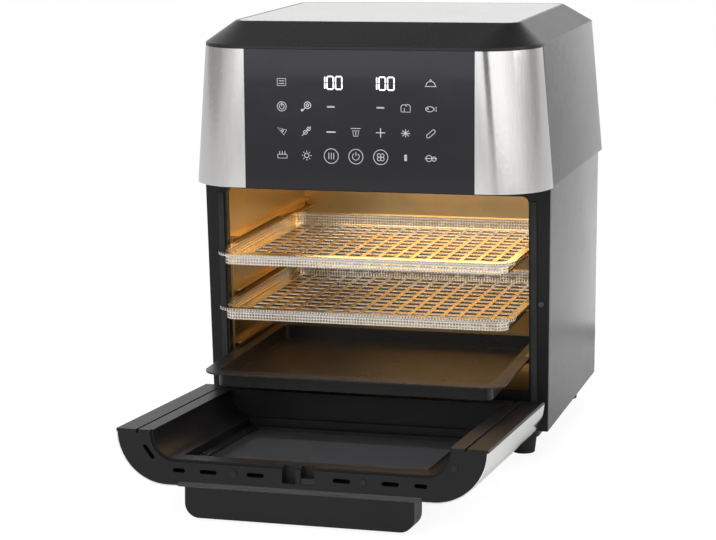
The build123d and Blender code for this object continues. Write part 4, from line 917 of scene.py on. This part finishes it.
def ringed_power_icon(pen):
    pen.arc(0, 0, 6.3, steps=32)
    pen.arc(0, 0, 3.0, 125, 415)
    pen.stroke([(0, 0.4), (0, 4.0)])


def ringed_fan_icon(pen):
    pen.arc(0, 0, 6.3, steps=32)
    for turn in range(45, 405, 90):
        out = math.radians(turn)
        pen.arc(2.1 * math.cos(out), 2.1 * math.sin(out), 1.5)


def lamp_icon(pen):
    pen.stroke([(-0.9, -2.4), (0.9, -2.4), (0.9, 2.4), (-0.9, 2.4)], True)
    pen.stroke([(0, -2.4), (0, 2.4)])


def turning_spit_icon(pen):
    pen.arc(-1.6, 0, 2.6)
    pen.arc(2.8, -0.4, 1.8)
    pen.stroke([(-5.2, 0), (5.4, 0)])


# Lowest row first, each from left to right
ICON_ROWS = (
    (
        cake_icon, sun_icon, ringed_bars_icon, ringed_power_icon, ringed_fan_icon, lamp_icon,
        turning_spit_icon,
    ),
    (wedge_icon, skewer_icon, minus_icon, tray_lift_icon, plus_icon, snowflake_icon, sausage_icon),
    (tart_icon, drumstick_icon, dash_icon, None, dash_icon, loaf_icon, fish_icon),
    (toaster_icon, None, None, None, None, None, covered_dish_icon),
)
BRIGHT_ICONS = (lamp_icon, plus_icon, drumstick_icon)
DIM_STRENGTH = 0.30
BRIGHT_STRENGTH = 0.60


class OVEN_OT_icons(Operator):
    """Model the pictograms of the touch panel"""

    bl_idname = "oven.icons"
    bl_label = "Touch icons"

    def execute(self, context):
        settings = context.scene.oven_markings
        dim = lit_marking("icon_light", tuple(settings.icon_colour), DIM_STRENGTH)
        bright = lit_marking("bright_icon_light", tuple(settings.icon_colour), BRIGHT_STRENGTH)
        for row, drawings in enumerate(ICON_ROWS):
            for column, draw in enumerate(drawings):
                if draw is None:
                    continue
                pen = IconPen(column, row, settings)
                draw(pen)
                name = f"{draw.__name__}_{row}_{column}"
                material = bright if draw in BRIGHT_ICONS else dim
                keep(pen.piece(), name, "housing", material)
        return {"FINISHED"}


# Finishes on the modelled parts

def finishes(settings):
    """Every material slot's finish."""
    return {
        "shell_black": satin_black_shell("head_satin_black", tuple(settings.shell)),
        "side_black": satin_black_shell("side_satin_black", tuple(settings.shell)),
        "top_steel": cross_brushed_steel("top_brushed_steel", tuple(settings.top_steel)),
        "trim_steel": upright_brushed_steel("front_brushed_steel", tuple(settings.front_steel)),
        "panel_glass": printed_black_glass("panel_black_glass", tuple(settings.glass)),
        "black_plastic": grained_black_plastic("grained_plastic", tuple(settings.plastic)),
        "dark_glass": tinted_door_glass("door_tinted_glass", tuple(settings.door_glass)),
        "clear_glass": clear_lamp_glass("lamp_clear_glass", slot_colour("clear_glass")),
        "black_rubber": matt_rubber("foot_rubber", slot_colour("black_rubber")),
        "seal": matt_rubber("seal_silicone", slot_colour("seal")),
        "liner_steel": dull_liner_steel("cavity_steel", tuple(settings.liner)),
        "rack_steel": mesh_tray_steel("tray_mesh_steel", tuple(settings.tray)),
        "pan_black": nonstick_pan("drip_tray_coating", tuple(settings.pan)),
        "zinc": spangled_zinc("galvanised_sheet", slot_colour("zinc")),
        "screw_steel": turned_metal("screw_steel", slot_colour("screw_steel"), 0.28),
        "spring_steel": turned_metal("bright_steel", slot_colour("spring_steel"), 0.20),
        "element_steel": heat_darkened_tube("heater_sheath", slot_colour("element_steel")),
        "ceramic_white": unglazed_ceramic("white_ceramic", slot_colour("ceramic_white")),
        "fan_aluminium": cast_aluminium("fan_aluminium", slot_colour("fan_aluminium")),
        "iron": laminated_iron("motor_iron", slot_colour("iron")),
        "circuit": green_board("circuit_board", slot_colour("circuit")),
        "display": dark_display_cell("display_cell", slot_colour("display")),
        "component": plain_moulding("component_moulding", slot_colour("component")),
    }


class OVEN_OT_finishes(Operator):
    """Give every modelled part its finish"""

    bl_idname = "oven.finishes"
    bl_label = "Part finishes"

    def execute(self, context):
        made = finishes(context.scene.oven_finishes)
        # Parts that look unlike the rest of their slot
        own = {
            "lamp_bulb": glowing_bulb("lit_bulb", slot_colour("clear_glass")),
            "door_screws": blackened_steel("door_screw_steel", (0.012, 0.012, 0.013)),
            "door_catch": blackened_steel("door_catch_steel", (0.018, 0.018, 0.019)),
        }
        for subpart in frame["record"]["subparts"]:
            part = frame["nodes"][subpart["node"]]
            material = own.get(subpart["node"], made[subpart["material_slot"]])
            for slot in part.material_slots:
                slot.material = material
        return {"FINISHED"}


# Stage

# Brightness of the screens that metal and paint mirror, by turn round the oven: 0.5 is in front of the
# door, 0.75 to its right, and 0 and 1 behind. The dark gap beside the front gives the steel its stripe.
SCREEN_LEVELS = (
    (0.0, 0.81), (0.065, 0.81), (0.13, 0.30), (0.22, 0.25), (0.294, 0.28), (0.389, 0.63), (0.44, 0.98),
    (0.478, 1.0), (0.499, 0.85), (0.5055, 0.12), (0.528, 0.12), (0.539, 1.0), (0.60, 0.98), (0.65, 0.80),
    (0.725, 0.46), (0.80, 0.30), (0.835, 0.30), (0.883, 0.48), (0.93, 0.66), (1.0, 0.80),
)
SCREEN_STRENGTH = 1.16
ROOM_STRENGTH = 0.42       # what the surroundings give to unpolished surfaces
CEILING_SHADE = 0.8        # how much darker the screens are high up behind
ZENITH_SHADE = 0.75        # and straight above

# How much of the floor is plain white, rather than lit, to each kind of ray
FLOOR_WHITE = 1.14
FLOOR_SEEN = 0.80
FLOOR_MIRRORED = 0.2
FLOOR_THROUGH_GLASS = 0.5

WHITE = (1.0, 1.0, 1.0)
LAMP_GOLD = (1.0, 0.62, 0.26)
LAMP_BELOW_CEILING = 6.0 * MM


def softbox(name, place, aim, size, power, colour=WHITE, mirrored=True):
    bpy.ops.object.light_add(type="AREA", location=place)
    lamp = bpy.context.object
    lamp.name = name
    lamp.rotation_euler = (Vector(aim) - Vector(place)).to_track_quat("-Z", "Y").to_euler()
    lamp.data.shape = "RECTANGLE"
    lamp.data.size = size[0]
    lamp.data.size_y = size[1]
    lamp.data.energy = power
    lamp.data.color = colour
    lamp.visible_camera = False
    lamp.visible_glossy = mirrored


def studio_world():
    """White to the camera, with a ring of pale screens and dark gaps for the metal to mirror."""
    world = bpy.data.worlds.new("studio")
    world.use_nodes = True
    bpy.context.scene.world = world
    nodes = Nodes(world.node_tree)
    result = world.node_tree.nodes.new("ShaderNodeOutputWorld")
    paths = world.node_tree.nodes.new("ShaderNodeLightPath")
    direction = nodes.node("ShaderNodeTexCoord", output=0)
    across, along, rise = nodes.split(direction)
    turn = across.math("ARCTAN2", across, along * -1.0) / (2.0 * math.pi) + 0.5
    screens = nodes.node("ShaderNodeValToRGB", {"stops": SCREEN_LEVELS}, {0: turn})
    ceiling = rise.smooth_step(0.42, 0.72) * along.smooth_step(-0.1, 0.35)
    zenith = rise.smooth_step(0.45, 0.70)
    shade = (1.0 - ceiling * CEILING_SHADE) * (1.0 - zenith * ZENITH_SHADE)
    level = screens * shade * SCREEN_STRENGTH
    glossy = Value(nodes, paths.outputs["Is Glossy Ray"])
    direct = Value(nodes, paths.outputs["Is Camera Ray"])
    through = Value(nodes, paths.outputs["Is Transmission Ray"])
    plain = (direct + through).clamped()
    strength = plain + (1.0 - plain) * (glossy * level + (1.0 - glossy) * ROOM_STRENGTH)
    light = nodes.node("ShaderNodeBackground", {}, {"Color": (*WHITE, 1.0), "Strength": strength})
    world.node_tree.links.new(light.socket, result.inputs["Surface"])


class OVEN_OT_stage(Operator):
    """Set out the pale floor, the studio lights and the camera"""

    bl_idname = "oven.stage"
    bl_label = "Stage"

    def execute(self, context):
        deselect_all()
        settings = context.scene.oven_stage
        bpy.ops.mesh.primitive_plane_add(size=14.0, location=(0.0, 0.0, 0.0))
        floor = context.object
        floor.name = "studio_floor"
        floor.data.materials.append(self.floor_material(tuple(settings.floor_colour)))
        studio_world()
        self.add_lamps(settings)
        self.add_camera(context, settings)
        context.scene.view_settings.view_transform = "Standard"
        return {"FINISHED"}

    def add_lamps(self, settings):
        middle = (0.0, 0.0, 0.18)
        front = (-0.9, -1.9, 1.5)
        above = (0.2, -0.5, 2.1)
        softbox("front_light", front, middle, (1.6, 1.6), settings.key_power, mirrored=False)
        softbox("side_light", (2.0, -0.3, 1.1), middle, (1.4, 1.4), settings.fill_power)
        softbox("overhead_light", above, middle, (1.8, 1.2), settings.top_power, mirrored=False)
        softbox("rear_card", (0.03, 0.47, 0.20), (0.03, 0.0, 0.20), (0.36, 0.37), settings.card_power)
        low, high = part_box("cavity_liner")
        lamp = (0.0, (low.y + high.y) / 2, high.z - LAMP_BELOW_CEILING)
        below = (0.0, (low.y + high.y) / 2, low.z)
        softbox("cavity_lamp", lamp, below, (0.20, 0.14), settings.cavity_power, LAMP_GOLD)

    def floor_material(self, colour):
        """Pale floor that shows white to the camera and keeps a soft shadow."""
        material = bpy.data.materials.new("floor_pale")
        material.use_nodes = True
        nodes = Nodes(material.node_tree)
        result = material.node_tree.nodes.new("ShaderNodeOutputMaterial")
        paths = material.node_tree.nodes.new("ShaderNodeLightPath")
        matt = nodes.node("ShaderNodeBsdfDiffuse", {}, {"Color": (*colour, 1.0)})
        white = nodes.node("ShaderNodeEmission", {}, {"Color": (*WHITE, 1.0), "Strength": FLOOR_WHITE})
        direct = Value(nodes, paths.outputs["Is Camera Ray"])
        mirrored = Value(nodes, paths.outputs["Is Glossy Ray"])
        through = Value(nodes, paths.outputs["Is Transmission Ray"])
        share = direct * FLOOR_SEEN + mirrored * FLOOR_MIRRORED + through * FLOOR_THROUGH_GLASS
        mixed = nodes.node("ShaderNodeMixShader", {}, {0: share.clamped(), 1: matt, 2: white})
        material.node_tree.links.new(mixed.socket, result.inputs["Surface"])
        return material

    def add_camera(self, context, settings):
        turn, tilt, roll = settings.camera_turn
        ahead = Vector((-math.sin(turn) * math.cos(tilt), math.cos(turn) * math.cos(tilt), -math.sin(tilt)))
        level = Vector((math.cos(turn), math.sin(turn), 0.0))
        upward = level.cross(ahead)
        right = level * math.cos(roll) + upward * math.sin(roll)
        upward = upward * math.cos(roll) - level * math.sin(roll)
        bpy.ops.object.camera_add(location=settings.camera_place)
        camera = context.object
        camera.rotation_euler = Matrix((right, upward, -ahead)).transposed().to_euler()
        camera.data.sensor_width = 36.0
        camera.data.lens = settings.lens
        camera.data.clip_end = 50.0
        context.scene.camera = camera


# Sidebar and registration

STEPS = (OVEN_OT_finishes, OVEN_OT_display, OVEN_OT_icons, OVEN_OT_stage)


class OVEN_PT_sidebar(Panel):
    """Lists the oven's pieces and its stage"""

    bl_idname = "OVEN_PT_sidebar"
    bl_label = "Oven"
    bl_space_type = "VIEW_3D"
    bl_region_type = "UI"
    bl_category = "Oven"

    def draw(self, context):
        for step in STEPS:
            self.layout.operator(step.bl_idname)
        for group in (context.scene.oven_finishes, context.scene.oven_markings, context.scene.oven_stage):
            box = self.layout.box()
            for name in group.__annotations__:
                box.prop(group, name)


CLASSES = (OvenFinishSettings, OvenMarkingSettings, OvenStageSettings, *STEPS, OVEN_PT_sidebar)


def register():
    for made in CLASSES:
        bpy.utils.register_class(made)
    bpy.types.Scene.oven_finishes = PointerProperty(type=OvenFinishSettings)
    bpy.types.Scene.oven_markings = PointerProperty(type=OvenMarkingSettings)
    bpy.types.Scene.oven_stage = PointerProperty(type=OvenStageSettings)


def unregister():
    del bpy.types.Scene.oven_stage
    del bpy.types.Scene.oven_markings
    del bpy.types.Scene.oven_finishes
    for made in reversed(CLASSES):
        bpy.utils.unregister_class(made)


def main():
    register()
    bpy.ops.oven.finishes()
    bpy.ops.oven.display()
    bpy.ops.oven.icons()
    bpy.ops.oven.stage()


if __name__ == "__main__":
    main()
